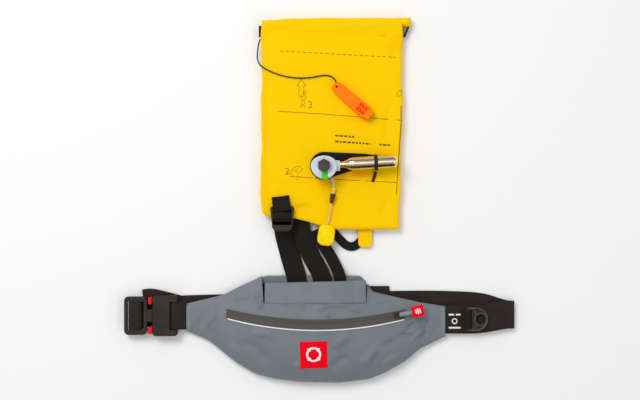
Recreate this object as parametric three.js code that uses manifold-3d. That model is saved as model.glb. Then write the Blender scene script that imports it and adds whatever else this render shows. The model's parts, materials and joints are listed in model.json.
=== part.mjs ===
// Inflatable life jacket of the belt-pack kind, opened and laid flat: the waist pouch with its
// belt and buckle lies along X, and the folded yellow bladder drawn out of the pouch lies along
// +Y, with its gas inflator, whistle and straps. Millimetres, +Z up, Z = 0 is the table.
import * as THREE from 'three';
import { mergeVertices } from 'three/addons/utils/BufferGeometryUtils.js';
import Module from 'manifold-3d';

const wasm = await Module();
wasm.setup();

// Clearances
const gap = 0.3;                 // between pieces that rest on or in each other
const sewnGap = 0.7;             // between the domed pouch cloth and what is sewn on it
const turnGap = 0.6;             // round a piece that turns in another
const tableGap = 0.02;           // under the belt's bent run
const slantGap = 2;              // at the slanted end of webbing that is sewn into the pouch

// Belt webbing and buckle
const webbingWidth = 40;
const webbingThickness = 1.8;
const beltLeft = -238;           // where the belt ends under the buckle
const beltRight = 281;           // outside of the fold at the right end
const beltRunY = -157;           // middle of the back run
const beltFrontY = -172;         // middle of the front layer
const beltFoldY = -165;          // middle of the fold
const beltFrontLift = 8.3;       // middle height of the front layer
const buckleY = -166;
const buckleThickness = 14;
const buckleWall = 4;
const femaleLeft = -240;
const femaleLength = 36;
const femaleEdge = 9;            // body beyond the webbing on each side
const maleLeft = -281;
const maleLength = 33;
const maleEdge = 7.5;
const maleThickness = 8;
const barWidth = 6;              // the bars that webbing turns round
const latchWidth = 6;
const latchThickness = 5;
const buttonLength = 5;
const buttonWall = 2;            // round the latch arm

// Pouch
const pouchLeft = -192;
const pouchLength = 372;
const pouchTop = -108;
const pouchHeight = 155;
const backThickness = 3;
const clothThickness = 1.8;
const wingHeight = 5;
const leftWingLength = 42;
const rightWingLength = 34;
const mouthLeft = -80;
const mouthRight = 66;
const flapFoldY = -147;
const flapTopY = -117;
const tunnelTabLeft = 66;
const tunnelTabWidth = 34;

// Zip: its line is an arc in a tilted plane
const zipRadius = 410;
const zipMiddleX = -5;
const zipMiddleY = -174.5;
const zipMiddleZ = 38;
const zipLean = new THREE.Vector3(0, -0.6, 0.8);   // from the arc's centre to its middle
const zipLeft = -134;
const zipRight = 122;
const zipTapeWidth = 5;
const zipCoilWidth = 3;
const zipTapeThickness = 1;
const sliderX = 108.7;
const sliderLength = 9;
const sliderWidth = 8;
const sliderThickness = 3;
const pullLength = 19;
const pullWidth = 6;
const tagLength = 18;
const tagWidth = 16;
const pipingDrop = 14;           // below the zip line
const pipingWidth = 3;
const patchSide = 40;
const patchX = -8.6;
const patchY = -220.7;

// D-ring
const ringBarX = 211.5;
const ringBarWidth = 4;
const ringLength = 31.5;
const ringWidth = 34;
const ringThickness = 4;
const ringHoleRadius = 7;
const ringHoleX = 230.5;
const ringTabWidth = 24;
const ringTabThickness = 1.2;

// Bladder
const bladderLeft = -84;
const bladderWidth = 206;
const bladderTop = 250.6;
const bladderBottom = -20;
const backLobeThickness = 9;
const frontLobeThickness = 5.7;
const backLobeInset = 16;        // how much shorter the back lobe is at the bottom
const rollRadius = 6;
const oralTubeRadius = 4;
const oralTubeX = 89;
const oralTubeLength = 96;
const oralTubeBottom = 122;

// Inflator and gas cartridge
const inflatorX = 5.7;
const inflatorY = 49;
const inflatorRadius = 19;
const bandLift = 0.1;             // from the band down to the pad
const inflatorTilt = THREE.MathUtils.degToRad(3.4);
const padThickness = 3;
const bossRadius = 9;
const bossEnd = 22.5;            // from the inflator's middle
const cartridgeRadius = 9.2;
const cartridgeLength = 73;
const neckRadius = 4.2;
const neckLength = 14;
const neckRecessDepth = 6.5;      // where the firing pin enters the neck
const bandX = 74;
const bandWidth = 5;
const bandThickness = 1.6;
const inflatorHeight = 2 * (cartridgeRadius + turnGap + bandThickness + bandLift);
const nutAcrossCorners = 19;
const nutHeight = 5.5;
const stemRadius = 4;
const indicatorWidth = 7.5;
const indicatorLength = 12;
const indicatorThickness = 5;
const leverThickness = 4;
const leverLength = 12;
const leverWidth = 5;
const leverPinRadius = 1.2;
const leverRest = THREE.MathUtils.degToRad(-10);
const firingPinRadius = 1.5;
const firingPinLength = 11;
const firingBoreRadius = 3.6;

// Pull cord with its beads and handle
const pullCordRadius = 0.9;
const beadRadius = 3.2;
const beadLength = 5;
const toggleRadius = 4;
const toggleLength = 20;
const handleWidth = 24;
const handleLength = 30;
const handleThickness = 6;

// Whistle and its cord
const whistleLength = 71;
const whistleWidth = 19;
const whistleThickness = 11;
const whistleEye = new THREE.Vector3(24, 161.5, 0);
const whistleTurn = THREE.MathUtils.degToRad(-41);
const whistleCordRadius = 1;

// Straps and ladder lock
const strapWidth = 25;
const strapThickness = 1.4;
const ladderX = -54;
const ladderTopY = -8.6;
const ladderLength = 35;
const ladderSide = 4;
const ladderThickness = 4;
const ladderBar = 4;
const loopWidth = 13;
const anchorLength = 40;
const hingeY = -113;             // where the straps turn over the pouch mouth

const model = new THREE.Group();

// ---------------------------------------------------------------- making and naming pieces

/** A material from its colour, roughness and metalness. */
function finish(colour, roughness, metalness = 0) {
  return { color: colour, roughness, metalness };
}

const blackWebbing = finish(0x2a2320, 0.85);
const blackPlastic = finish(0x1d1b1c, 0.45);
const redPlastic = finish(0xe0102a, 0.45);
const greyCloth = finish(0x7a8289, 0.75);
const yellowCloth = finish(0xffcc00, 0.55);
const zipCloth = finish(0x56524f, 0.8);
const greyPlastic = finish(0xc9d2dc, 0.4);
const whiteCord = finish(0xf0ead8, 0.8);
const yellowPlastic = finish(0xffd000, 0.4);

/** Adds one named mesh to a group. */
function add(name, geometry, look, parent = model) {
  const mesh = new THREE.Mesh(geometry, new THREE.MeshStandardMaterial(look));
  mesh.name = name;
  parent.add(mesh);
  return mesh;
}

/** The geometry as a closed solid that can be joined and cut. */
function solidOf(geometry) {
  const bare = geometry.clone();
  bare.deleteAttribute('normal');
  bare.deleteAttribute('uv');
  const merged = mergeVertices(bare, 1e-4);
  return new wasm.Manifold(new wasm.Mesh({
    numProp: 3,
    vertProperties: new Float32Array(merged.attributes.position.array),
    triVerts: new Uint32Array(merged.index.array),
  }));
}

/** The geometry of a solid. */
function geometryOf(solid) {
  const mesh = solid.getMesh();
  const geometry = new THREE.BufferGeometry();
  geometry.setAttribute('position', new THREE.BufferAttribute(mesh.vertProperties, 3));
  geometry.setIndex(new THREE.BufferAttribute(mesh.triVerts, 1));
  return geometry;
}

/** The base with every tool taken away. */
function cut(base, ...tools) {
  return geometryOf(tools.reduce((solid, tool) => solid.subtract(solidOf(tool)), solidOf(base)));
}

/** All the pieces as one. */
function join(first, ...others) {
  return geometryOf(others.reduce((solid, other) => solid.add(solidOf(other)), solidOf(first)));
}

/** What two pieces share. */
function shared(first, second) {
  return geometryOf(solidOf(first).intersect(solidOf(second)));
}

/** A box between two X, two Y and two Z values. */
function block(x0, x1, y0, y1, z0, z1) {
  const box = new THREE.BoxGeometry(x1 - x0, y1 - y0, z1 - z0);
  return box.translate((x0 + x1) / 2, (y0 + y1) / 2, (z0 + z1) / 2);
}

/** An upright cylinder. */
function post(radius, x, y, z0, z1, sides = 16) {
  const cylinder = new THREE.CylinderGeometry(radius, radius, z1 - z0, sides);
  return cylinder.rotateX(Math.PI / 2).translate(x, y, (z0 + z1) / 2);
}

/** A cylinder along X. */
function rod(radius, x0, x1, y, z, sides = 16) {
  const cylinder = new THREE.CylinderGeometry(radius, radius, x1 - x0, sides);
  return cylinder.rotateZ(-Math.PI / 2).translate((x0 + x1) / 2, y, z);
}

/** A rectangle with round corners, as an outline. */
function roundedRectangle(x0, x1, y0, y1, radius) {
  const outline = new THREE.Shape();
  outline.moveTo(x0 + radius, y0);
  outline.lineTo(x1 - radius, y0);
  outline.absarc(x1 - radius, y0 + radius, radius, -Math.PI / 2, 0);
  outline.lineTo(x1, y1 - radius);
  outline.absarc(x1 - radius, y1 - radius, radius, 0, Math.PI / 2);
  outline.lineTo(x0 + radius, y1);
  outline.absarc(x0 + radius, y1 - radius, radius, Math.PI / 2, Math.PI);
  outline.lineTo(x0, y0 + radius);
  outline.absarc(x0 + radius, y0 + radius, radius, Math.PI, 1.5 * Math.PI);
  return outline;
}

/** A flat plate of an outline, with its edges softened by a small bevel. */
function plate(outline, z0, z1, bevel = 0, curveSegments = 4) {
  const geometry = new THREE.ExtrudeGeometry(outline, {
    depth: z1 - z0 - 2 * bevel,
    bevelEnabled: bevel > 0,
    bevelSize: bevel,
    bevelThickness: bevel,
    bevelOffset: -bevel,
    bevelSegments: 1,
    curveSegments,
  });
  return geometry.translate(0, 0, z0 + bevel);
}

/** A block divided into a grid, each corner put where place(u, v, w) says, all from 0 to 1. */
function shapedBlock(countU, countV, countW, place) {
  const geometry = new THREE.BoxGeometry(1, 1, 1, countU, countV, countW);
  const corners = geometry.attributes.position;
  for (let index = 0; index < corners.count; index += 1) {
    const u = corners.getX(index) + 0.5;
    const v = corners.getY(index) + 0.5;
    const w = corners.getZ(index) + 0.5;
    const spot = place(u, v, w);
    corners.setXYZ(index, spot.x, spot.y, spot.z);
  }
  return geometry;
}

/** Webbing of one width and thickness whose middle follows the points; side is its width's way. */
function ribbon(points, side, width, thickness) {
  const last = points.length - 1;
  return shapedBlock(last, 1, 1, (u, v, w) => {
    const index = Math.round(u * last);
    const ahead = points[Math.min(index + 1, last)];
    const behind = points[Math.max(index - 1, 0)];
    const along = ahead.clone().sub(behind).normalize();
    const across = side.clone().addScaledVector(along, -side.dot(along)).normalize();
    const up = along.clone().cross(across);
    return points[index].clone()
      .addScaledVector(across, (v - 0.5) * width)
      .addScaledVector(up, (w - 0.5) * thickness);
  });
}

/** Points of a smooth curve through the given [x, y, z] stations. */
function smoothRoute(stations, steps) {
  return new THREE.CatmullRomCurve3(stations.map((s) => new THREE.Vector3(...s))).getPoints(steps);
}

/** A round cord along a smooth curve. */
function cord(stations, radius, steps, sides = 8) {
  const section = new THREE.Shape();
  for (let index = 0; index < sides; index += 1) {
    const angle = (index / sides) * 2 * Math.PI;
    const move = index === 0 ? 'moveTo' : 'lineTo';
    section[move](radius * Math.cos(angle), radius * Math.sin(angle));
  }
  section.closePath();
  const path = new THREE.CatmullRomCurve3(stations.map((s) => new THREE.Vector3(...s)));
  return new THREE.ExtrudeGeometry(section, { steps, bevelEnabled: false, extrudePath: path });
}

/** A height read between stations [position, height], eased from each to the next. */
function stationHeight(stations, position) {
  const after = stations.findIndex((station) => station[0] >= position);
  if (after === 0) return stations[0][1];
  if (after < 0) return stations[stations.length - 1][1];
  const [from, fromHeight] = stations[after - 1];
  const [to, toHeight] = stations[after];
  return THREE.MathUtils.lerp(fromHeight, toHeight, (position - from) / (to - from));
}

/**
 * Webbing folded in a U round a bar, seen along Y: two layers from openX to foldX, joined by a
 * half round at foldX, lowest at z0 and highest at z1.
 */
function foldedWebbing(openX, foldX, y0, y1, z0, z1, thickness) {
  const turn = foldX > openX ? 1 : -1;
  const outer = (z1 - z0) / 2;
  const inner = outer - thickness;
  const outline = new THREE.Shape();
  outline.moveTo(openX, z0);
  outline.lineTo(foldX, z0);
  outline.absarc(foldX, z0 + outer, outer, -Math.PI / 2, Math.PI / 2, turn < 0);
  outline.lineTo(openX, z1);
  outline.lineTo(openX, z1 - thickness);
  outline.lineTo(foldX, z1 - thickness);
  outline.absarc(foldX, z0 + outer, inner, Math.PI / 2, -Math.PI / 2, turn > 0);
  outline.lineTo(openX, z0 + thickness);
  outline.closePath();
  const band = new THREE.ExtrudeGeometry(outline, {
    depth: y1 - y0, bevelEnabled: false, curveSegments: 6,
  });
  return band.rotateX(Math.PI / 2).translate(0, y1, 0);
}

// ---------------------------------------------------------------- belt and buckle

/** The belt: a long back run on the table, a fold at the right end and a shorter front layer. */
function makeBelt() {
  const low = webbingThickness / 2 + tableGap;
  const turnRadius = (beltFrontLift - low) / 2;
  const foldX = beltRight - webbingThickness / 2 - turnRadius;
  const frontLeft = pouchLeft + pouchLength + slantGap;
  const points = [];
  const addStraight = (from, to, count) => {
    for (let index = 0; index < count; index += 1) points.push(from.clone().lerp(to, index / count));
  };
  const backStart = new THREE.Vector3(beltLeft, beltRunY, low);
  const backMiddle = new THREE.Vector3(frontLeft, beltRunY + 2, low);
  const backEnd = new THREE.Vector3(foldX, beltFoldY, low);
  const frontStart = new THREE.Vector3(foldX, beltFoldY, beltFrontLift);
  const frontEnd = new THREE.Vector3(frontLeft, beltFrontY, beltFrontLift);
  addStraight(backStart, backMiddle, 2);
  addStraight(backMiddle, backEnd, 2);
  for (let index = 0; index < 8; index += 1) {
    const angle = -Math.PI / 2 + (index / 8) * Math.PI;
    const x = foldX + turnRadius * Math.cos(angle);
    const z = low + turnRadius + turnRadius * Math.sin(angle);
    points.push(new THREE.Vector3(x, beltFoldY, z));
  }
  addStraight(frontStart, frontEnd, 3);
  points.push(frontEnd);
  // On the way back the webbing runs towards -X, so its width's way stays +Y all round.
  add('belt_webbing', ribbon(points, new THREE.Vector3(0, 1, 0), webbingWidth, webbingThickness),
    blackWebbing);
}

/** A patch of webbing sewn over the belt behind the pouch, which keeps the belt in place. */
function makeTunnelTab() {
  const z0 = webbingThickness + gap;
  const y1 = beltRunY + webbingWidth / 2 + 13;
  const y0 = beltRunY - webbingWidth / 2 - 8;
  add('belt_tunnel_tab',
    block(tunnelTabLeft, tunnelTabLeft + tunnelTabWidth, y0, y1, z0, z0 + strapThickness),
    blackWebbing);
}

const buckleBottom = 2 * webbingThickness + 2 * gap;
const femaleRight = femaleLeft + femaleLength;
const femaleHalf = webbingWidth / 2 + femaleEdge;
const femaleBarLeft = femaleRight - barWidth;
const femaleSlotLeft = femaleBarLeft - 2 * webbingThickness - 2;
const maleRight = maleLeft + maleLength;
const maleHalf = webbingWidth / 2 + maleEdge;
const maleBottom = buckleBottom + (buckleThickness - maleThickness) / 2;
const maleTop = maleBottom + maleThickness;
const latchReach = femaleSlotLeft - buckleWall - turnGap - maleRight;

/** The buckle's socket: a hollow block open at its left end, with a bar for the stub webbing. */
function makeFemaleBuckle() {
  const top = buckleBottom + buckleThickness;
  const body = plate(roundedRectangle(femaleLeft, femaleRight, buckleY - femaleHalf,
    buckleY + femaleHalf, 5), buckleBottom, top, 1.2);
  const inside = femaleHalf - buckleWall;
  const socket = block(femaleLeft - 1, femaleSlotLeft - buckleWall, buckleY - inside,
    buckleY + inside, maleBottom - turnGap, maleTop + turnGap);
  const slotHalf = webbingWidth / 2 + gap;
  const slot = block(femaleSlotLeft, femaleBarLeft, buckleY - slotHalf, buckleY + slotHalf,
    buckleBottom - 1, top + 1);
  const barTop = buckleBottom + (buckleThickness + 5) / 2;
  const barBottom = barTop - 5;
  const overBar = block(femaleBarLeft - 1, femaleRight + 1, buckleY - slotHalf,
    buckleY + slotHalf, barTop, top + 1);
  const underBar = block(femaleBarLeft - 1, femaleRight + 1, buckleY - slotHalf,
    buckleY + slotHalf, buckleBottom - 1, barBottom);
  add('buckle_socket', cut(body, socket, slot, overBar, underBar), blackPlastic);
  const turn = 5 / 2 + turnGap + webbingThickness;
  const middle = (barTop + barBottom) / 2;
  add('socket_stub_webbing', foldedWebbing(pouchLeft - 2 * gap, femaleBarLeft - gap,
    buckleY - webbingWidth / 2, buckleY + webbingWidth / 2, middle - turn, middle + turn,
    webbingThickness), blackWebbing);
}

/** The plug half: a frame with the belt's bar and a guide tongue, and a pair of latch arms. */
function makeMaleBuckle() {
  const frame = plate(roundedRectangle(maleLeft, maleRight, buckleY - maleHalf,
    buckleY + maleHalf, 6), maleBottom, maleTop, 1);
  const windowHalf = webbingWidth / 2 + gap;
  const windowLeft = maleLeft + 5;
  const windowRight = maleRight - 5;
  const barLeft = (windowLeft + windowRight - barWidth) / 2;
  const leftWindow = block(windowLeft, barLeft, buckleY - windowHalf, buckleY + windowHalf,
    maleBottom - 1, maleTop + 1);
  const rightWindow = block(barLeft + barWidth, windowRight, buckleY - windowHalf,
    buckleY + windowHalf, maleBottom - 1, maleTop + 1);
  const tongue = plate(roundedRectangle(maleRight - 3, maleRight + latchReach,
    buckleY - 9, buckleY + 9, 2), maleBottom + 1, maleTop - 1);
  add('buckle_plug', join(cut(frame, leftWindow, rightWindow), tongue), blackPlastic);

  const middle = (maleBottom + maleTop) / 2;
  const turn = maleThickness / 2 + gap + webbingThickness;
  const wrapFold = barLeft - gap;
  add('belt_bar_wrap', foldedWebbing(windowRight - gap, wrapFold, buckleY - webbingWidth / 2,
    buckleY + webbingWidth / 2, middle - turn, middle + turn, webbingThickness), blackWebbing);

  for (const [name, way] of [['upper', 1], ['lower', -1]]) {
    const arm = latchArm(way);
    add(`latch_arm_${name}`, arm.bar, blackPlastic);
    add(`latch_button_${name}`, arm.button, redPlastic);
  }
}

/** One latch arm, on the side of the plug that way gives, and the red sleeve that is pressed. */
function latchArm(way) {
  const outside = femaleHalf - buckleWall - turnGap;
  const y0 = buckleY + way * (outside - latchWidth);
  const y1 = buckleY + way * outside;
  const z0 = (maleBottom + maleTop - latchThickness) / 2;
  const left = maleRight + turnGap;
  const bar = block(left, maleRight + latchReach, Math.min(y0, y1), Math.max(y0, y1), z0,
    z0 + latchThickness);
  const inner = y0 - way * buttonWall;
  const outer = y1 + way * buttonWall;
  const buttonRight = femaleLeft - 2 * turnGap;
  const sleeve = block(buttonRight - buttonLength, buttonRight, Math.min(inner, outer),
    Math.max(inner, outer), z0 - buttonWall, z0 + latchThickness + buttonWall);
  const hole = block(buttonRight - buttonLength - 1, buttonRight + 1, Math.min(y0, y1) - gap,
    Math.max(y0, y1) + gap, z0 - gap, z0 + latchThickness + gap);
  const button = cut(sleeve, hole);
  return { bar, button };
}

/** The belt's spare end, which lies between the buckle and the back run. */
function makeBeltTail() {
  const z = webbingThickness * 1.5 + gap;
  const middleY = buckleY + webbingWidth / 2;
  const points = [
    new THREE.Vector3(maleRight - 2, middleY - 3, z),
    new THREE.Vector3(femaleRight - 2, middleY + 8, z),
  ];
  add('belt_tail', ribbon(points, new THREE.Vector3(0, 1, 0), webbingWidth / 2,
    webbingThickness), blackWebbing);
}

makeBelt();
makeTunnelTab();
makeFemaleBuckle();
makeMaleBuckle();
makeBeltTail();

// ---------------------------------------------------------------- pouch

const pouchRight = pouchLeft + pouchLength;
const backBottom = webbingThickness + strapThickness + 2 * gap;
const backTop = backBottom + backThickness;
const seamHeight = backTop + gap;

// The pouch's outline, as shares of its length and height: [along from the left end, up].
const topOutline = [
  [0, 0.735], [0.14, 0.815], [0.229, 0.923], [0.305, 0.994], [0.478, 1], [0.68, 0.994],
  [0.709, 0.852], [0.804, 0.8], [0.901, 0.748], [1, 0.71],
];
const bottomOutline = [
  [0, 0.484], [0.086, 0.396], [0.189, 0.194], [0.266, 0.084], [0.344, 0.036], [0.44, 0.008],
  [0.593, 0], [0.709, 0.036], [0.766, 0.092], [0.843, 0.194], [0.901, 0.313], [1, 0.432],
];

function outlineTop(x) {
  return pouchTop - pouchHeight * (1 - stationHeight(topOutline, (x - pouchLeft) / pouchLength));
}

function outlineBottom(x) {
  const share = stationHeight(bottomOutline, (x - pouchLeft) / pouchLength);
  return pouchTop - pouchHeight * (1 - share);
}

/** The zip line at a place along X, as a point on its arc. */
function zipPoint(x) {
  const along = x - zipMiddleX;
  const inward = zipRadius - Math.sqrt(zipRadius ** 2 - along ** 2);
  return new THREE.Vector3(zipMiddleX, zipMiddleY, zipMiddleZ)
    .add(new THREE.Vector3(along, 0, 0))
    .addScaledVector(zipLean, -inward);
}

/** How round the pouch is across its height: 1 in the middle, 0 at the seams (s is -1 to 1). */
function roundness(s) {
  return Math.sqrt(Math.max(0, 1 - Math.abs(s) ** 2.4));
}

/** The height of the pouch's front above its seam along its middle, set by the zip line. */
function crownHeight(x) {
  const middle = (outlineTop(x) + outlineBottom(x)) / 2;
  const half = (outlineTop(x) - outlineBottom(x)) / 2;
  const zip = zipPoint(x);
  const zipShare = THREE.MathUtils.clamp((zip.y - middle) / half, -0.9, 0.9);
  const wanted = (zip.z - sewnGap - seamHeight) / roundness(zipShare);
  return Math.max(wingHeight, wanted);
}

/** The outside of the pouch's front at a place. */
function frontHeight(x, y) {
  const middle = (outlineTop(x) + outlineBottom(x)) / 2;
  const half = (outlineTop(x) - outlineBottom(x)) / 2;
  return seamHeight + crownHeight(x) * roundness((y - middle) / half);
}

/** A domed shell of cloth over the back panel between two X values. */
function frontShell(x0, x1, columns) {
  return shapedBlock(columns, 12, 1, (u, v, w) => {
    const x = THREE.MathUtils.lerp(x0, x1, u);
    const middle = (outlineTop(x) + outlineBottom(x)) / 2;
    const half = (outlineTop(x) - outlineBottom(x)) / 2 - (1 - w) * clothThickness;
    const s = Math.sin((v - 0.5) * Math.PI);
    const height = (crownHeight(x) - (1 - w) * clothThickness) * roundness(s);
    return new THREE.Vector3(x, middle + half * s, seamHeight + height);
  });
}

/** The padded panel that lies against the wearer. */
function makeBackPanel() {
  const panel = shapedBlock(31, 1, 1, (u, v, w) => {
    const x = THREE.MathUtils.lerp(pouchLeft, pouchRight, u);
    const y = THREE.MathUtils.lerp(outlineBottom(x), outlineTop(x), v);
    return new THREE.Vector3(x, y, THREE.MathUtils.lerp(backBottom, backTop, w));
  });
  add('pouch_back_panel', panel, greyCloth);
}

/** The front: a main panel with the mouth cut out of it, and a wing at each end. */
function makeFrontPanels() {
  const leftSeam = pouchLeft + leftWingLength;
  const rightSeam = pouchRight - rightWingLength;
  const mouth = block(mouthLeft, mouthRight, flapFoldY, pouchTop + 10, backTop - 1,
    zipMiddleZ + 10);
  add('pouch_front_panel', cut(frontShell(leftSeam + gap, rightSeam - gap, 26), mouth), greyCloth);
  add('pouch_left_wing', frontShell(pouchLeft, leftSeam, 5), greyCloth);
  add('pouch_right_wing', frontShell(rightSeam, pouchRight, 5), greyCloth);
}

/** The flap that covers the mouth, free along its top edge and turned down along its fold. */
function makeMouthFlap() {
  const shell = frontShell(mouthLeft, mouthRight, 16);
  const region = block(mouthLeft + turnGap, mouthRight - turnGap, flapFoldY + turnGap, flapTopY,
    backTop - 1, zipMiddleZ + 10);
  add('mouth_flap', shared(shell, region), greyCloth);
}

/** A strip that follows the pouch's front, between X values, from y0(x) to y1(x). */
function frontStrip(x0, x1, columns, rows, bottomEdge, topEdge, lift, thickness) {
  return shapedBlock(columns, rows, 1, (u, v, w) => {
    const x = THREE.MathUtils.lerp(x0, x1, u);
    const y = THREE.MathUtils.lerp(bottomEdge(x), topEdge(x), v);
    return new THREE.Vector3(x, y, frontHeight(x, y) + lift + w * thickness);
  });
}

/** The zip: two tapes and the coil between them, its slider, and the puller with a cloth tag. */
function makeZip() {
  const zipY = (x) => zipPoint(x).y;
  const coilEdge = zipCoilWidth / 2;
  const tapeEdge = coilEdge + gap;
  const strip = (from, to, thickness) => frontStrip(zipLeft, zipRight, 26, 1,
    (x) => zipY(x) + from, (x) => zipY(x) + to, sewnGap, thickness);
  add('zip_tape_upper', strip(tapeEdge, tapeEdge + zipTapeWidth, zipTapeThickness), zipCloth);
  add('zip_tape_lower', strip(-tapeEdge - zipTapeWidth, -tapeEdge, zipTapeThickness), zipCloth);
  add('zip_coil', strip(-coilEdge, coilEdge, zipTapeThickness + 0.4), zipCloth);
}

/** The turned frame of the zip slider: X along the zip, Z out of the cloth. */
function sliderFrame() {
  const origin = zipPoint(sliderX);
  const along = zipPoint(sliderX + 1).sub(zipPoint(sliderX - 1)).normalize();
  const rise = frontHeight(sliderX, origin.y + 4) - frontHeight(sliderX, origin.y - 4);
  const up = along.clone().cross(new THREE.Vector3(0, 8, rise)).normalize();
  const across = up.clone().cross(along);
  const frame = new THREE.Group();
  frame.matrix.makeBasis(along, across, up).setPosition(origin);
  frame.matrix.decompose(frame.position, frame.quaternion, frame.scale);
  model.add(frame);
  return frame;
}

function makeZipSlider() {
  const frame = sliderFrame();
  const low = zipTapeThickness + 0.4 + turnGap + 1;
  const top = low + sliderThickness;
  const body = plate(roundedRectangle(-sliderLength / 2, sliderLength / 2, -sliderWidth / 2,
    sliderWidth / 2, 2.5), low, top, 0.5);
  add('zip_slider', body, finish(0x3a3a3c, 0.35, 0.6), frame);
  const pullStart = sliderLength / 2 - 2;
  const pullEnd = pullStart + pullLength;
  add('zip_puller', plate(roundedRectangle(pullStart, pullEnd, -pullWidth / 2, pullWidth / 2, 2.5),
    top + turnGap, top + turnGap + 2.4, 0.6), finish(0x6f757b, 0.7), frame);
  const tag = plate(roundedRectangle(pullEnd + gap, pullEnd + gap + tagLength, -tagWidth / 2,
    tagWidth / 2, 1), top + turnGap, top + turnGap + 1.6);
  add('zip_tag', tag, redPlastic, frame);
}

/** The reflective piping under the zip, and the square badge on the front. */
function makeFrontTrim() {
  const pipingTop = (x) => zipPoint(x).y - pipingDrop + pipingWidth / 2;
  add('reflective_piping', frontStrip(zipLeft + 6, zipRight - 4, 24, 1,
    (x) => pipingTop(x) - pipingWidth, pipingTop, sewnGap, 1), finish(0xe8ecee, 0.3));
  add('square_badge', frontStrip(patchX - patchSide / 2, patchX + patchSide / 2, 4, 4,
    () => patchY - patchSide / 2, () => patchY + patchSide / 2, sewnGap, 1.2),
  finish(0xf2002e, 0.5));
}

makeBackPanel();
makeFrontPanels();
makeMouthFlap();
makeZip();
makeZipSlider();
makeFrontTrim();

// ---------------------------------------------------------------- D-ring on the belt's front layer

/** A flat plastic D-ring, its bar held by a short tab of webbing sewn to the belt. */
function makeRing() {
  const beltTop = beltFrontLift + webbingThickness / 2;
  const turn = ringThickness / Math.SQRT2 + turnGap + ringTabThickness;
  const middle = beltTop + gap + turn;
  const left = ringBarX - ringBarWidth / 2;
  const half = ringWidth / 2;
  const y = beltFrontY + 1;
  const outline = new THREE.Shape();
  outline.moveTo(left, y - half);
  outline.lineTo(left + ringLength - half, y - half);
  outline.absarc(left + ringLength - half, y, half, -Math.PI / 2, Math.PI / 2);
  outline.lineTo(left, y + half);
  outline.closePath();
  const bottom = middle - ringThickness / 2;
  const top = middle + ringThickness / 2;
  const slotLeft = ringBarX + ringBarWidth / 2;
  const slot = block(slotLeft, slotLeft + 4, y - ringTabWidth / 2 - turnGap,
    y + ringTabWidth / 2 + turnGap, bottom - 1, top + 1);
  const hole = post(ringHoleRadius, ringHoleX, y, bottom - 1, top + 1);
  add('d_ring', cut(plate(outline, bottom, top, 0.8, 6), slot, hole), finish(0x3a3b3d, 0.5));
  add('d_ring_tab', foldedWebbing(ringBarX - 7, ringBarX + ringBarWidth / 2 - 1, y - ringTabWidth / 2,
    y + ringTabWidth / 2, middle - turn, middle + turn, ringTabThickness), blackWebbing);
}

makeRing();

// ---------------------------------------------------------------- bladder

const bladderRight = bladderLeft + bladderWidth;
const backLobeBottom = bladderBottom + backLobeInset;
const frontLobeLow = backLobeThickness + gap;
const bladderSurface = frontLobeLow + frontLobeThickness;

// How far each edge of the front lobe stands out, as [share of the width, millimetres].
const lowerEdge = [[0, 0], [0.24, -7], [0.48, -17], [0.6, -24], [0.97, -20], [1, -16]];

/** One lobe of the folded bladder: flat on top, with edges that round down. */
function lobe(bottomEdge, bottom, z0, z1, inset) {
  return shapedBlock(14, 14, 1, (u, v, w) => {
    const left = bladderLeft + inset;
    const right = bladderRight - inset - 4 * (1 - v);
    const x = THREE.MathUtils.lerp(left, right, u);
    const y = THREE.MathUtils.lerp(bottom + stationHeight(bottomEdge, u), bladderTop, v);
    const edge = Math.max(Math.abs(2 * u - 1), Math.abs(2 * v - 1));
    const top = z1 - (z1 - z0) * 0.45 * edge ** 24;
    return new THREE.Vector3(x, y, THREE.MathUtils.lerp(z0, top, w));
  });
}

/** The folded bladder: a back lobe on the table, a front lobe on it and a roll at the top. */
function makeBladder() {
  const back = lobe([[0, 0], [1, 0]], backLobeBottom, 0, backLobeThickness, 1.5);
  const tubeHalf = oralTubeRadius + 2;
  const pocket = block(oralTubeX - tubeHalf, oralTubeX + tubeHalf, oralTubeBottom - 4,
    oralTubeBottom + oralTubeLength + 24, -1, backLobeThickness + 1);
  add('bladder_back_lobe', cut(back, pocket), yellowCloth);
  add('bladder_front_lobe', lobe(lowerEdge, bladderBottom, frontLobeLow, bladderSurface, 0),
    yellowCloth);
  const roll = rod(rollRadius, bladderLeft, bladderRight + 8, bladderTop + gap + rollRadius,
    rollRadius, 12);
  add('bladder_top_roll', roll, yellowCloth);
  for (const [name, x] of [['left', bladderLeft - 2], ['right', bladderRight + 4]]) {
    add(`corner_loop_${name}`, block(x - 2, x + 1.2, bladderTop - 16, bladderTop, 2, 9),
      blackWebbing);
  }
}

/** The mouth tube for topping the bladder up by breath, in its pocket, and its cap. */
function makeOralTube() {
  const z = oralTubeRadius + 0.5;
  const top = oralTubeBottom + oralTubeLength;
  const along = (radius, y0, y1) => new THREE.CylinderGeometry(radius, radius, y1 - y0, 12)
    .translate(oralTubeX, (y0 + y1) / 2, z);
  add('oral_tube', along(oralTubeRadius - 1, oralTubeBottom, top), blackPlastic);
  const cap = cut(along(oralTubeRadius, top - 5, top + 6),
    along(oralTubeRadius - 1 + gap, top - 6, top + gap));
  add('oral_tube_cap', cap, yellowPlastic);
}

makeBladder();
makeOralTube();

// ---------------------------------------------------------------- inflator

const padTop = bladderSurface + gap + padThickness;
const bodyLow = padTop + gap;
const bodyTop = bodyLow + inflatorHeight;
const cartridgeHeight = bodyLow + inflatorHeight / 2;
const inflator = new THREE.Group();
inflator.position.set(inflatorX, inflatorY, 0);
inflator.rotation.z = inflatorTilt;
model.add(inflator);

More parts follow.
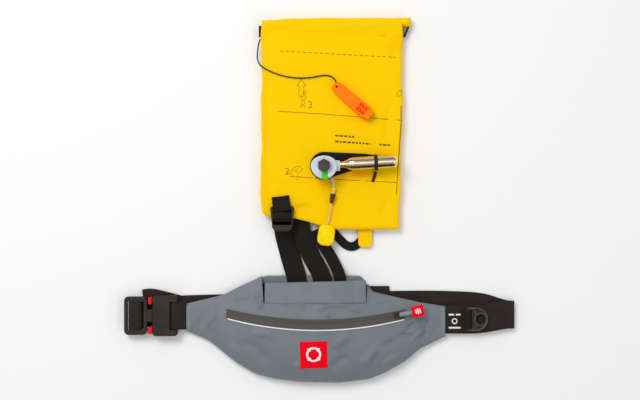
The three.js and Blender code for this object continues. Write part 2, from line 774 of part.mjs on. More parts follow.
/** The black pad under the inflator and its cartridge, round at the left and narrow at the right. */
function makePad() {
  const outline = new THREE.Shape();
  outline.absarc(0, 0, inflatorRadius + 1, Math.PI / 2, 1.5 * Math.PI);
  outline.lineTo(60, -inflatorRadius + 8);
  outline.lineTo(98, -8);
  outline.lineTo(98, 8);
  outline.lineTo(60, inflatorRadius - 3);
  outline.closePath();
  add('inflator_pad', plate(outline, bladderSurface + gap, padTop, 0, 10), finish(0x1f1c1c, 0.9),
    inflator);
}

// Places in the inflator, from its middle.
const indicatorX = 0.5;
const leverPivotX = -1;
const leverPivotY = -12.5;
const leverLow = cartridgeHeight - leverThickness / 2 - 6.5;
const firingPinLeft = 7.5;
const neckStart = bossEnd - 5;

/** The inflator's body: a rounded housing and boss, bored for the stem, pin, lever and neck. */
function makeInflatorBody() {
  const outline = new THREE.Shape();
  outline.absarc(0, 0, inflatorRadius, 0, 2 * Math.PI);
  const housing = plate(outline, bodyLow, bodyTop, 1.5, 8);
  const boss = rod(bossRadius, 0, bossEnd, 0, cartridgeHeight);
  const stemBore = post(stemRadius + gap, 0, 0, bodyLow - 1, bodyTop + 1, 12);
  const firingBore = rod(firingBoreRadius, firingPinLeft - 1, bossEnd + 1, 0, cartridgeHeight, 12);
  const neckBore = rod(neckRadius + turnGap, neckStart, bossEnd + 1, 0, cartridgeHeight, 12);
  const half = indicatorWidth / 2 + gap;
  const indicatorSlot = block(indicatorX - half, indicatorX + half, -inflatorRadius - 1,
    -inflatorRadius + indicatorLength + gap, bodyTop - indicatorThickness, bodyTop + 1);
  const leverSlot = block(leverPivotX - leverWidth / 2 - turnGap, inflatorRadius + 1,
    -inflatorRadius - 1, leverPivotY + leverWidth / 2 + turnGap, leverLow - turnGap,
    leverLow + leverThickness + turnGap);
  const pinBore = post(leverPinRadius + gap, leverPivotX, leverPivotY, bodyLow - 1,
    leverLow + leverThickness + 4, 10);
  add('inflator_body', cut(join(housing, boss), stemBore, firingBore, neckBore, indicatorSlot,
    leverSlot, pinBore), greyPlastic, inflator);
}

/** The threaded stem of the bladder's valve, its washer and the six-sided cap nut over it. */
function makeStemAndNut() {
  const stemTop = bodyTop + 2;
  add('valve_stem', post(stemRadius, 0, 0, padTop + gap, stemTop, 12), finish(0x8f9296, 0.4, 0.8),
    inflator);
  const washer = cut(post(nutAcrossCorners / 2 + 1, 0, 0, bodyTop + gap, bodyTop + gap + 1, 24),
    post(stemRadius + gap, 0, 0, bodyTop, bodyTop + 2, 12));
  add('valve_washer', washer, finish(0x2b2829, 0.8), inflator);
  const nutLow = bodyTop + 2 * gap + 1;
  const nut = post(nutAcrossCorners / 2, 0, 0, nutLow, nutLow + nutHeight, 6);
  const nutHollow = post(stemRadius + turnGap, 0, 0, nutLow - 1, stemTop + gap, 12);
  add('cap_nut', cut(nut, nutHollow), finish(0x3f383a, 0.5), inflator);
}

/** The green clip that shows the inflator is armed, in its slot at the housing's edge. */
function makeIndicator() {
  const half = indicatorWidth / 2;
  const edge = -inflatorRadius - 1;
  add('armed_indicator', plate(roundedRectangle(indicatorX - half, indicatorX + half, edge,
    -inflatorRadius + indicatorLength, 1.2), bodyTop - indicatorThickness + gap, bodyTop, 0.5),
  finish(0x1ed81e, 0.35), inflator);
}

/** The manual lever in its slot, and the pin it swings on. */
function makeLever() {
  const lever = new THREE.Group();
  lever.position.set(leverPivotX, leverPivotY, 0);
  lever.rotation.z = leverRest;
  inflator.add(lever);
  const half = leverWidth / 2;
  const arm = plate(roundedRectangle(-half, leverLength, -half, half, half - 0.2), leverLow,
    leverLow + leverThickness, 0.5);
  const bore = post(leverPinRadius + gap, 0, 0, leverLow - 1, leverLow + leverThickness + 1, 10);
  add('firing_lever', cut(arm, bore), blackPlastic, lever);
  add('lever_pin', post(leverPinRadius, 0, 0, bodyLow + gap, leverLow + leverThickness + 3, 10),
    finish(0xb9bcc0, 0.3, 0.9), lever);
}

/** The pointed pin that pierces the cartridge, and the spring that draws it back. */
function makeFiringPin() {
  const tip = new THREE.ConeGeometry(firingPinRadius, 3, 10).rotateZ(-Math.PI / 2);
  const shaftEnd = firingPinLeft + firingPinLength - 3;
  const shaft = rod(firingPinRadius, firingPinLeft, shaftEnd, 0, cartridgeHeight, 10);
  tip.translate(shaftEnd + 1.5 - 0.01, 0, cartridgeHeight);
  add('firing_pin', join(shaft, tip), finish(0xb9bcc0, 0.25, 1), inflator);
  const turns = 3;
  const radius = firingPinRadius + gap + 0.6;
  const stations = [];
  for (let index = 0; index <= turns * 10; index += 1) {
    const angle = (index / 10) * 2 * Math.PI;
    stations.push([firingPinLeft + 1 + (index / (turns * 10)) * 5.5, radius * Math.cos(angle),
      cartridgeHeight + radius * Math.sin(angle)]);
  }
  add('pin_spring', cord(stations, 0.35, turns * 10, 6), finish(0x9da1a6, 0.3, 1), inflator);
}

/** The gas cartridge: neck, cone, barrel and round end, turned about its own length. */
function makeCartridge() {
  const start = neckStart + gap;
  const shoulder = start + neckLength;
  const end = shoulder + cartridgeLength;
  const recess = firingPinRadius + turnGap;
  const profile = [new THREE.Vector2(0, start + neckRecessDepth),
    new THREE.Vector2(recess, start + neckRecessDepth), new THREE.Vector2(recess, start),
    new THREE.Vector2(neckRadius, start), new THREE.Vector2(neckRadius, shoulder - 4), new THREE.Vector2(neckRadius + 1.5, shoulder - 1),
    new THREE.Vector2(cartridgeRadius - 1, shoulder + 6),
    new THREE.Vector2(cartridgeRadius, shoulder + 10),
    new THREE.Vector2(cartridgeRadius, end - cartridgeRadius)];
  for (let index = 1; index <= 5; index += 1) {
    const angle = (index / 5) * (Math.PI / 2);
    const radius = index === 5 ? 0 : cartridgeRadius * Math.cos(angle);
    profile.push(new THREE.Vector2(radius, end - cartridgeRadius + cartridgeRadius * Math.sin(angle)));
  }
  const barrel = new THREE.LatheGeometry(profile, 24).rotateZ(-Math.PI / 2);
  add('gas_cartridge', barrel.translate(0, 0, cartridgeHeight), finish(0xd9a441, 0.2, 1), inflator);
}

/** The strap that holds the cartridge down: a ring round it with a short free end. */
function makeCartridgeBand() {
  const inner = cartridgeRadius + turnGap;
  const outer = inner + bandThickness;
  const ring = cut(rod(outer, bandX - bandWidth / 2, bandX + bandWidth / 2, 0, cartridgeHeight, 24),
    rod(inner, bandX - bandWidth, bandX + bandWidth, 0, cartridgeHeight, 24));
  const foot = block(bandX - bandWidth / 2, bandX + bandWidth / 2, -outer + 1, outer - 1,
    padTop + gap, cartridgeHeight - inner - 0.6);
  add('cartridge_band', join(ring, foot), blackWebbing, inflator);
}

makePad();
makeInflatorBody();
makeStemAndNut();
makeIndicator();
makeLever();
makeFiringPin();
makeCartridge();
makeCartridgeBand();

// ---------------------------------------------------------------- whistle and its cord

const whistleLow = bladderSurface + gap;
const whistleHigh = whistleLow + whistleThickness;

/** The flat whistle: an eye at one end, a wide chamber with a window, and the mouthpiece. */
function makeWhistle() {
  const frame = new THREE.Group();
  frame.position.copy(whistleEye);
  frame.rotation.z = whistleTurn;
  model.add(frame);
  const eyeHalf = 6.5;
  const half = whistleWidth / 2;
  const outline = new THREE.Shape();
  outline.absarc(0, 0, eyeHalf, Math.PI / 2, 1.5 * Math.PI);
  outline.lineTo(whistleLength * 0.45, -half + 1);
  outline.lineTo(whistleLength - eyeHalf - 10, -half);
  outline.lineTo(whistleLength - eyeHalf, -half + 4);
  outline.lineTo(whistleLength - eyeHalf, half - 4);
  outline.lineTo(whistleLength - eyeHalf - 10, half);
  outline.lineTo(whistleLength * 0.45, half - 1);
  outline.closePath();
  const body = plate(outline, whistleLow, whistleHigh, 1.2);
  const eye = post(2.6, 0, 0, whistleLow - 1, whistleHigh + 1, 12);
  const window = block(whistleLength * 0.5, whistleLength * 0.5 + 7, -half + 4, half - 4,
    whistleLow + 3, whistleHigh + 1);
  const air = block(whistleLength * 0.5 + 2, whistleLength, -half + 5, half - 5, whistleLow + 4,
    whistleLow + 7);
  add('whistle', cut(body, eye, window, air), finish(0xff7300, 0.4), frame);
}

/** The thin cord from the bladder's left edge over its front to the whistle's eye. */
function makeWhistleCord() {
  const lying = whistleLow + whistleCordRadius;
  const stations = [
    [-86, 231, 11], [-88.6, 222, 9], [-90, 211, 8.5], [-89.5, 201, 10], [-84.5, 192, 16],
    [-71.5, 184.5, lying], [-57.2, 179, lying], [-42.9, 175.8, lying], [-28.6, 174.6, lying],
    [-14.3, 175.4, lying], [-1.4, 177.6, lying], [9, 178.6, lying], [16.6, 176.6, lying],
    [21.2, 172.4, lying], [23, 168.9, lying],
  ];
  add('whistle_cord', cord(stations, whistleCordRadius, 60), finish(0x1a1718, 0.8));
}

makeWhistle();
makeWhistleCord();

// ---------------------------------------------------------------- pull cord

/** A ring with round edges on a cord, its hole along the line from one place to another. */
function bead(from, to, radius, length, taper) {
  const hole = pullCordRadius + turnGap;
  const half = length / 2;
  const profile = [new THREE.Vector2(hole, -half), new THREE.Vector2(radius * 0.75, -half),
    new THREE.Vector2(radius, -half + radius * 0.4),
    new THREE.Vector2(radius * taper, half - radius * 0.4),
    new THREE.Vector2(Math.max(hole + 0.4, radius * 0.75 * taper), half),
    new THREE.Vector2(hole, half), new THREE.Vector2(hole, -half)];
  const ring = new THREE.LatheGeometry(profile, 12);
  const way = to.clone().sub(from).normalize();
  ring.applyQuaternion(new THREE.Quaternion().setFromUnitVectors(new THREE.Vector3(0, 1, 0), way));
  const middle = from.clone().add(to).multiplyScalar(0.5);
  return ring.translate(middle.x, middle.y, middle.z);
}

/** The cord from the lever, through two beads, to its handle below the bladder's edge. */
function makePullCord() {
  const lying = bladderSurface + gap + toggleRadius + 0.2;
  const handleZ = lying - 3;
  const stations = [
    [17.2, 31.6, lying + 3.6], [18.3, 28, lying + 2], [19.4, 23, lying + 0.4], [19.8, 18, lying],
    [19.2, 11, lying], [17.8, 4, lying], [16.6, -3, lying], [15.4, -10, lying],
    [13.8, -20, lying], [12.4, -28, lying - 1], [11, -35.4, handleZ],
  ];
  add('pull_cord', cord(stations, pullCordRadius, 36), whiteCord);
  const at = (x, y, z = lying) => new THREE.Vector3(x, y, z);
  add('cord_bead', bead(at(19.8, 18), at(19.5, 14), beadRadius, beadLength, 1), yellowPlastic);
  add('cord_toggle', bead(at(18.1, 5.5), at(16.9, -1.2), toggleRadius, toggleLength * 0.7, 0.7),
    finish(0x5a3a22, 0.5));
  const outline = roundedRectangle(-handleWidth / 2, handleWidth / 2, -handleLength, 0, 9);
  const grip = plate(outline, handleZ - handleThickness / 2, handleZ + handleThickness / 2, 1.5, 5);
  grip.rotateZ(THREE.MathUtils.degToRad(-8)).translate(10.9, -35.4 - gap, 0);
  add('pull_handle', grip, yellowPlastic);
}

makePullCord();

// ---------------------------------------------------------------- straps and ladder lock

const strapHalf = strapWidth / 2;

/** The ladder lock: a frame with two slots, its top bar held by a folded stub of webbing. */
function makeLadderLock() {
  const stubLow = bladderSurface + gap;
  const turn = ladderBar / Math.SQRT2 + turnGap + strapThickness;
  const middle = stubLow + turn;
  const bottom = middle - ladderThickness / 2;
  const top = middle + ladderThickness / 2;
  const half = strapHalf + ladderSide + turnGap;
  const outline = roundedRectangle(ladderX - half, ladderX + half, ladderTopY - ladderLength,
    ladderTopY, 4);
  const slotHeight = (ladderLength - 4 * ladderBar) / 2;
  const upperSlotTop = ladderTopY - ladderBar;
  const lowerSlotTop = upperSlotTop - slotHeight - ladderBar;
  const slot = (slotTop) => block(ladderX - strapHalf - turnGap, ladderX + strapHalf + turnGap,
    slotTop - slotHeight, slotTop, bottom - 1, top + 1);
  add('ladder_lock', cut(plate(outline, bottom, top, 0.8), slot(upperSlotTop),
    slot(lowerSlotTop)), blackPlastic);
  const fold = foldedWebbing(-9, upperSlotTop * -1 - ladderTopY * -1, -strapHalf, strapHalf,
    middle - turn, middle + turn, strapThickness);
  fold.rotateZ(-Math.PI / 2).translate(ladderX, ladderTopY, 0);
  add('ladder_stub_webbing', fold, blackWebbing);
}

/** A strap over the table from under the bladder to just short of the pouch's mouth. */
function makeStraps() {
  const overMouth = backTop + gap + strapThickness / 2;
  const onTable = strapThickness / 2 + 2 * gap;
  const across = new THREE.Vector3(1, 0, 0);
  const routes = {
    left: [[-54, -27, bladderSurface - 6.6], [-53, -40, 6], [-51, -52, onTable + 1],
      [-46, -74, onTable], [-39, -97, 5.5], [-34.5, -108, overMouth], [-34, hingeY, overMouth]],
    middle: [[-26, -12, onTable], [-23, -40, onTable], [-16, -62, onTable], [-6, -84, onTable],
      [0, -98, 4.8], [2, -107, overMouth], [2, hingeY, overMouth]],
    right: [[-4, -42, 5.6], [6, -62, 4.6], [16, -80, 4.4], [24, -96, 6], [27.5, -107, overMouth],
      [27.5, hingeY, overMouth]],
  };
  const widths = { left: strapWidth, middle: strapWidth * 0.72, right: strapWidth * 0.6 };
  for (const [name, stations] of Object.entries(routes)) {
    const points = smoothRoute(stations, 20);
    add(`strap_${name}`, ribbon(points, across.clone().negate(), widths[name], strapThickness),
      blackWebbing);
  }
  const ends = Object.entries(routes).map(([name, stations]) => ({
    x: stations[stations.length - 1][0], half: widths[name] / 2,
  }));
  add('strap_anchor', block(Math.min(...ends.map((end) => end.x - end.half)),
    Math.max(...ends.map((end) => end.x + end.half)), hingeY - anchorLength, hingeY - slantGap,
    overMouth - strapThickness / 2, overMouth + strapThickness / 2), blackWebbing);
}

/** The strap's loop that turns back in a V beside the handle, and the bladder's yellow tab. */
function makeLoopAndTab() {
  const route = smoothRoute([[20, -46, 3.4], [29, -58, 2.4], [39, -66, 1.6], [50, -66, 1.6],
    [62, -54, 2], [71, -44, 3]], 14);
  add('strap_loop', ribbon(route, new THREE.Vector3(0.75, 0.66, 0).cross(
    new THREE.Vector3(0, 0, 1)).lerp(new THREE.Vector3(0, -1, 0), 0.5).negate(), loopWidth,
  strapThickness), blackWebbing);
  add('bladder_tab', plate(roundedRectangle(55, 75, -68, -24, 6), 4.6, 6.6, 0.5), yellowCloth);
}

makeLadderLock();
makeStraps();
makeLoopAndTab();

export default model;
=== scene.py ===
import json
import math
import bpy
import numpy as np
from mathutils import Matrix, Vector


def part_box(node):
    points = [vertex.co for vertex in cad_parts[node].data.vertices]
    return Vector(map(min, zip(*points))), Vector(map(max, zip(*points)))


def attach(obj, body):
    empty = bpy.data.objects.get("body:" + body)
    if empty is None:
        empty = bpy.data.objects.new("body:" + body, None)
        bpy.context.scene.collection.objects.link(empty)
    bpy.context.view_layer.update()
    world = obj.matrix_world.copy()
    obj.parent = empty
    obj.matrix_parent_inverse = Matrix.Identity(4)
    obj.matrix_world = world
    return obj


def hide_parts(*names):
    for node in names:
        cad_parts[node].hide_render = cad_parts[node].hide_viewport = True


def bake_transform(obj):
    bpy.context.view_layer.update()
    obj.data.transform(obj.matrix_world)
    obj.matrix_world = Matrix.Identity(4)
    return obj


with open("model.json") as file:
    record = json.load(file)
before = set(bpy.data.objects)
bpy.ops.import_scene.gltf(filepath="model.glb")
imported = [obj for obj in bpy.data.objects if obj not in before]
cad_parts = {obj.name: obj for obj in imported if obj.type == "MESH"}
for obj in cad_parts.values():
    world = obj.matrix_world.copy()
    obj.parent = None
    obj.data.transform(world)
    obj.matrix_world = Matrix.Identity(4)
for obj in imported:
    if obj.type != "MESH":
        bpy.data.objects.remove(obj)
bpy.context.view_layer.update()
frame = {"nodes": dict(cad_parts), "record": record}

# ---------------------------------------------------------------- the table, the light and the view
# The jacket is laid open on a plain pale table under broad, soft studio light, and is looked at
# from straight above, as for a catalogue of parts.

VIEW_HEIGHT = 2.0
VIEW_WIDTH = 0.915           # what the view spans at the height of the cloth
CLOTH_LEVEL = 0.02
SENSOR = 36.0

camera_data = bpy.data.cameras.new("view_from_above")
camera_data.sensor_width = SENSOR
camera_data.lens = SENSOR * (VIEW_HEIGHT - CLOTH_LEVEL) / VIEW_WIDTH
camera = bpy.data.objects.new("view_from_above", camera_data)
camera.location = (0.0, 0.0, VIEW_HEIGHT)
bpy.context.scene.collection.objects.link(camera)
bpy.context.scene.camera = camera
bpy.context.scene.view_settings.view_transform = "Standard"


def wire(tree, kind, inputs=(), **settings):
    """Adds a shader node with its settings, its inputs given as values or as sockets to link."""
    node = tree.nodes.new(kind)
    for key, value in settings.items():
        setattr(node, key, value)
    for key, value in dict(inputs).items():
        if isinstance(value, bpy.types.NodeSocket):
            tree.links.new(value, node.inputs[key])
        else:
            node.inputs[key].default_value = value
    return node


def soft_light(name, place, aim, size, power):
    """A square soft box at a place, turned to face the point it lights."""
    data = bpy.data.lights.new(name, "AREA")
    data.size = size
    data.energy = power
    light = bpy.data.objects.new(name, data)
    light.location = place
    light.rotation_euler = (Vector(aim) - Vector(place)).to_track_quat("-Z", "Y").to_euler()
    bpy.context.scene.collection.objects.link(light)


soft_light("key_light", (-0.9, 1.1, 1.9), (0.0, 0.0, 0.0), 1.0, 27.0)
soft_light("fill_light", (1.3, -0.9, 1.6), (0.0, 0.0, 0.0), 1.4, 5.0)

world = bpy.data.worlds.new("studio_air")
world.use_nodes = True
# Glossy pieces mirror a studio of bright panels with dark gaps between them; all else is lit evenly.
AIR_STRENGTH = 0.58
sky = world.node_tree
sky_way = wire(sky, "ShaderNodeTexCoord").outputs["Generated"]
sky_parts = wire(sky, "ShaderNodeSeparateXYZ", {0: sky_way})
sky_height = wire(sky, "ShaderNodeMapRange", {0: sky_parts.outputs[1], 1: -1.0, 2: 1.0, 3: 0.0, 4: 1.0})
panels = wire(sky, "ShaderNodeValToRGB", {0: sky_height.outputs[0]})
for position, level in ((0.10, 0.05), (0.22, 0.5), (0.34, 0.95), (0.40, 0.10), (0.46, 2.6), (0.60, 2.4),
                        (0.66, 0.12), (0.74, 0.9), (0.90, 0.05)):
    stop = panels.color_ramp.elements.new(position)
    stop.color = (level, level, level, 1.0)
mirrored = wire(sky, "ShaderNodeMix", {0: wire(sky, "ShaderNodeLightPath").outputs["Is Glossy Ray"],
                                         6: (1.0, 1.0, 1.0, 1.0), 7: panels.outputs[0]},
                data_type="RGBA")
sky.links.new(mirrored.outputs[2], sky.nodes["Background"].inputs["Color"])
sky.nodes["Background"].inputs["Strength"].default_value = AIR_STRENGTH
bpy.context.scene.world = world

table_mesh = bpy.data.meshes.new("table_top")
TABLE_HALF = 3.0
TABLE_LEVEL = -0.0004
table_mesh.from_pydata([(-TABLE_HALF, -TABLE_HALF, TABLE_LEVEL), (TABLE_HALF, -TABLE_HALF, TABLE_LEVEL),
                        (TABLE_HALF, TABLE_HALF, TABLE_LEVEL), (-TABLE_HALF, TABLE_HALF, TABLE_LEVEL)],
                       [], [(0, 1, 2, 3)])
table_paint = bpy.data.materials.new("table_white")
table_paint.use_nodes = True
table_shader = table_paint.node_tree.nodes["Principled BSDF"]
table_shader.inputs["Base Color"].default_value = (0.93, 0.93, 0.93, 1.0)
table_shader.inputs["Roughness"].default_value = 0.9
table_mesh.materials.append(table_paint)
table = bpy.data.objects.new("table_top", table_mesh)
bpy.context.scene.collection.objects.link(table)

# ---------------------------------------------------------------- whistle cord and pull cord
# Both are thin braided cords. The whistle's is sewn to the bladder's left edge and tied in the
# whistle's eye; the pull cord runs from the firing lever through a bead and a toggle to its handle.


def way_gone(points):
    """The distance from a path's first point to each of its points, along its straight steps."""
    return np.concatenate([[0], np.cumsum(np.linalg.norm(np.diff(points, axis=0), axis=1))])


def smooth_route(stations, count):
    """Catmull-Rom curve through the stations, each stretch a cubic whose slope at a station is
    half the step between its neighbours, then set out again at equal distances along itself."""
    points = np.array(stations, float)
    ends = np.vstack([2 * points[0] - points[1], points, 2 * points[-1] - points[-2]])
    t = np.linspace(0, 1, 24, endpoint=False)[None, :, None]
    a, b, c, d = (ends[k:len(ends) - 3 + k][:, None, :] for k in range(4))
    curve = 0.5 * (2 * b + (c - a) * t + (2 * a - 5 * b + 4 * c - d) * t**2
                   + (3 * b - a - 3 * c + d) * t**3)
    curve = np.vstack([curve.reshape(-1, 3), points[-1]])
    reach = way_gone(curve)
    even = np.linspace(0, reach[-1], count)
    return np.stack([np.interp(even, reach, curve[:, k]) for k in range(3)], axis=1)


def new_object(name, vertices, faces, uv=None, smooth=True):
    """A mesh object at the origin from an array of places and a list of faces, with one pair of
    UV values for each vertex."""
    mesh = bpy.data.meshes.new(name)
    mesh.from_pydata(np.asarray(vertices, float).tolist(), [], [list(map(int, f)) for f in faces])
    if uv is not None:
        layer = mesh.uv_layers.new(name="metres")
        corner = np.zeros(len(mesh.loops), np.int32)
        mesh.loops.foreach_get("vertex_index", corner)
        layer.data.foreach_set("uv", np.asarray(uv, np.float32)[corner].ravel())
    mesh.polygons.foreach_set("use_smooth", np.full(len(mesh.polygons), smooth))
    thing = bpy.data.objects.new(name, mesh)
    bpy.context.scene.collection.objects.link(thing)
    return thing


def tube_faces(rings, size):
    """The faces that join rings of places into a tube with closed ends."""
    row, column = np.meshgrid(np.arange(rings - 1), np.arange(size), indexing="ij")
    ahead = (column + 1) % size
    quads = np.stack([row * size + column, row * size + ahead, (row + 1) * size + ahead,
                      (row + 1) * size + column], axis=-1).reshape(-1, 4)
    return list(quads) + [np.arange(size)[::-1], (rings - 1) * size + np.arange(size)]


def sweep(name, route, profile, across=None):
    """A closed profile of (across, up) pairs carried along a route and capped at both ends. At
    each point, up is the direction of travel crossed with across, and across is level and square
    to the travel unless it is given. UV holds the way travelled and the way across, in metres."""
    route = np.asarray(route, float)
    profile = np.asarray(profile, float)
    travel = np.gradient(route, axis=0)
    travel /= np.linalg.norm(travel, axis=1, keepdims=True)
    if across is None:
        side = np.cross([0.0, 0.0, 1.0], travel)
    else:
        side = np.broadcast_to(across, route.shape).astype(float)
        side = side - travel * (side * travel).sum(axis=1, keepdims=True)
    side /= np.linalg.norm(side, axis=1, keepdims=True)
    up = np.cross(travel, side)
    rings = (route[:, None, :] + profile[None, :, :1] * side[:, None, :]
             + profile[None, :, 1:] * up[:, None, :])
    uv = np.stack(np.broadcast_arrays(way_gone(route)[:, None], profile[None, :, 0]), axis=-1)
    return new_object(name, rings.reshape(-1, 3), tube_faces(*rings.shape[:2]), uv.reshape(-1, 2))


def round_profile(radius, sides=12):
    """Points round a circle, anticlockwise."""
    angle = np.arange(sides) * 2 * math.pi / sides
    return radius * np.stack([np.cos(angle), np.sin(angle)], axis=1)


def start_material(name, colour, roughness, metallic=0.0, **sockets):
    """A Principled material with plain values set on the shader's own sockets."""
    paint = bpy.data.materials.new(name)
    paint.use_nodes = True
    shader = paint.node_tree.nodes["Principled BSDF"]
    shader.inputs["Base Color"].default_value = (*colour, 1.0)
    shader.inputs["Roughness"].default_value = roughness
    shader.inputs["Metallic"].default_value = metallic
    for label, value in sockets.items():
        shader.inputs[label.replace("_", " ").title().replace("Ior", "IOR")].default_value = value
    return paint, paint.node_tree, shader


def start_group(name, inputs, outputs):
    """A shader node group with named sockets; returns it with its inner inputs and outputs."""
    group = bpy.data.node_groups.new(name, "ShaderNodeTree")
    for label, kind, value in inputs:
        socket = group.interface.new_socket(label, in_out="INPUT", socket_type="NodeSocket" + kind)
        socket.default_value = value
    for label, kind in outputs:
        group.interface.new_socket(label, in_out="OUTPUT", socket_type="NodeSocket" + kind)
    return group, group.nodes.new("NodeGroupInput"), group.nodes.new("NodeGroupOutput")


def sums(tree, operation, first, second=0.0, third=0.0):
    """One arithmetic step on values or sockets."""
    return wire(tree, "ShaderNodeMath", {0: first, 1: second, 2: third}, operation=operation).outputs[0]


def blend_colours(tree, share, low, high):
    """A colour between two, by a share from 0 to 1."""
    node = wire(tree, "ShaderNodeMix", {0: share, 6: (*low, 1.0), 7: (*high, 1.0)}, data_type="RGBA")
    return node.outputs[2]


def bump_into(tree, shader, height, distance):
    """Feeds a height into the shader's normal, distance being its depth in metres."""
    bump = wire(tree, "ShaderNodeBump", {"Height": height, "Distance": distance, "Strength": 1.0})
    tree.links.new(bump.outputs["Normal"], shader.inputs["Normal"])


def braid_group():
    """Crossed slanting strands on a round cord: the product of two sines of (along + across) and
    (along - across), as a height from 0 to 1."""
    group, given, result = start_group(
        "braided strands", [("UV", "Vector", (0, 0, 0)), ("Strand", "Float", 0.0012)],
        [("Height", "Float")])
    parts = wire(group, "ShaderNodeSeparateXYZ", {0: given.outputs["UV"]})
    turn = sums(group, "DIVIDE", 2 * math.pi, given.outputs["Strand"])
    waves = []
    for operation in ("ADD", "SUBTRACT"):
        slant = sums(group, operation, parts.outputs[0], parts.outputs[1])
        waves.append(sums(group, "SINE", sums(group, "MULTIPLY", slant, turn)))
    height = sums(group, "MULTIPLY_ADD", sums(group, "MULTIPLY", *waves), 0.5, 0.5)
    group.links.new(height, result.inputs["Height"])
    return group


BRAID = braid_group()


def cord_material(name, colour):
    """Braided cord, with a painted highlight on the strands' crowns and painted shade in the gaps between
    them.
    """
    paint, tree, shader = start_material(name, colour, 0.8, sheen_weight=0.25)
    layer = wire(tree, "ShaderNodeUVMap", uv_map="metres")
    braid = wire(tree, "ShaderNodeGroup", {"UV": layer.outputs["UV"]}, node_tree=BRAID)
    dark = tuple(0.6 * c for c in colour)
    # The braid's height sets the colour: painted highlight on the crowns, painted shade in the gaps.
    tree.links.new(blend_colours(tree, braid.outputs["Height"], dark, colour),
                   shader.inputs["Base Color"])
    bump_into(tree, shader, braid.outputs["Height"], 0.0003)
    return paint


def finish_piece(thing, body, paint, slot, *nodes):
    """Gives a piece its material, the body it rides on and the CAD nodes that it stands for; the slot is
    not used."""
    thing.data.materials.clear()
    thing.data.materials.append(paint)
    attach(thing, body)
    if nodes:
        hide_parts(*nodes)
    return thing


LOBE_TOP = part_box("bladder_front_lobe")[1][2]
WHISTLE_CORD_RADIUS = 0.001
whistle_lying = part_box("whistle")[0][2] + WHISTLE_CORD_RADIUS
whistle_stations = [
    (-0.086, 0.231, 0.011), (-0.0886, 0.222, 0.009), (-0.090, 0.211, 0.0085),
    (-0.0895, 0.201, 0.010), (-0.0845, 0.192, 0.016), (-0.0715, 0.1845, whistle_lying),
    (-0.0572, 0.179, whistle_lying), (-0.0429, 0.1758, whistle_lying),
    (-0.0286, 0.1746, whistle_lying), (-0.0143, 0.1754, whistle_lying),
    (-0.0014, 0.1776, whistle_lying), (0.009, 0.1786, whistle_lying),
    (0.0166, 0.1766, whistle_lying), (0.0212, 0.1724, whistle_lying), (0.023, 0.1689, whistle_lying),
]
whistle_route = smooth_route(whistle_stations, 150)
whistle_cord = sweep("whistle_cord_braid", whistle_route, round_profile(WHISTLE_CORD_RADIUS))
black_cord = cord_material("black_braid", (0.012, 0.01, 0.011))
finish_piece(whistle_cord, "bladder", black_cord, "cord_black", "whistle_cord")

PULL_CORD_RADIUS = 0.0009
pull_lying = LOBE_TOP + 0.0045
pull_stations = [
    (0.0172, 0.0316, pull_lying + 0.0036), (0.0183, 0.028, pull_lying + 0.002),
    (0.0194, 0.023, pull_lying + 0.0004), (0.0198, 0.018, pull_lying), (0.0192, 0.011, pull_lying),
    (0.0178, 0.004, pull_lying), (0.0166, -0.003, pull_lying), (0.0154, -0.010, pull_lying),
    (0.0138, -0.020, pull_lying), (0.0124, -0.028, pull_lying - 0.001),
    (0.011, -0.0354, pull_lying - 0.003),
]
pull_route = smooth_route(pull_stations, 90)
pull_cord = sweep("pull_cord_braid", pull_route, round_profile(PULL_CORD_RADIUS))
white_cord = cord_material("white_braid", (0.86, 0.8, 0.66))
finish_piece(pull_cord, "pull_cord", white_cord, "cord_white", "pull_cord")

# ---------------------------------------------------------------- belt
# One length of 40 mm black polyester webbing. From under the pouch's right wing it runs out, folds
# back behind the pouch and goes to the buckle plug, where it turns round the bar and ends in a tail.

WEBBING_WIDTH = 0.040
WEBBING_THICKNESS = 0.0018
BELT_BLACK = (0.027, 0.0185, 0.0155)


def webbing_group():
    """Woven webbing: slanting ribs that turn back every few millimetres of width, as a height,
    and a slow unevenness of the dye, as a shade, both from 0 to 1."""
    group, given, result = start_group(
        "webbing weave", [("UV", "Vector", (0, 0, 0)), ("Rib", "Float", 0.0016),
                          ("Column", "Float", 0.0045)],
        [("Height", "Float"), ("Shade", "Float")])
    parts = wire(group, "ShaderNodeSeparateXYZ", {0: given.outputs["UV"]})
    zigzag = sums(group, "PINGPONG", parts.outputs[1], given.outputs["Column"])
    turn = sums(group, "DIVIDE", 2 * math.pi, given.outputs["Rib"])
    slant = sums(group, "ADD", parts.outputs[0], zigzag)
    wave = sums(group, "SINE", sums(group, "MULTIPLY", slant, turn))
    rib = sums(group, "MULTIPLY_ADD", wave, 0.5, 0.5)
    column_edge = sums(group, "DIVIDE", zigzag, given.outputs["Column"])
    groove = wire(group, "ShaderNodeMapRange", {0: column_edge, 1: 0.0, 2: 0.18, 3: 0.0, 4: 1.0})
    height = sums(group, "MULTIPLY", rib, groove.outputs[0])
    noise = wire(group, "ShaderNodeTexNoise", {"Vector": given.outputs["UV"], "Scale": 55.0,
                                                 "Detail": 3.0})
    group.links.new(height, result.inputs["Height"])
    group.links.new(noise.outputs[0], result.inputs["Shade"])
    return group


WEAVE = webbing_group()


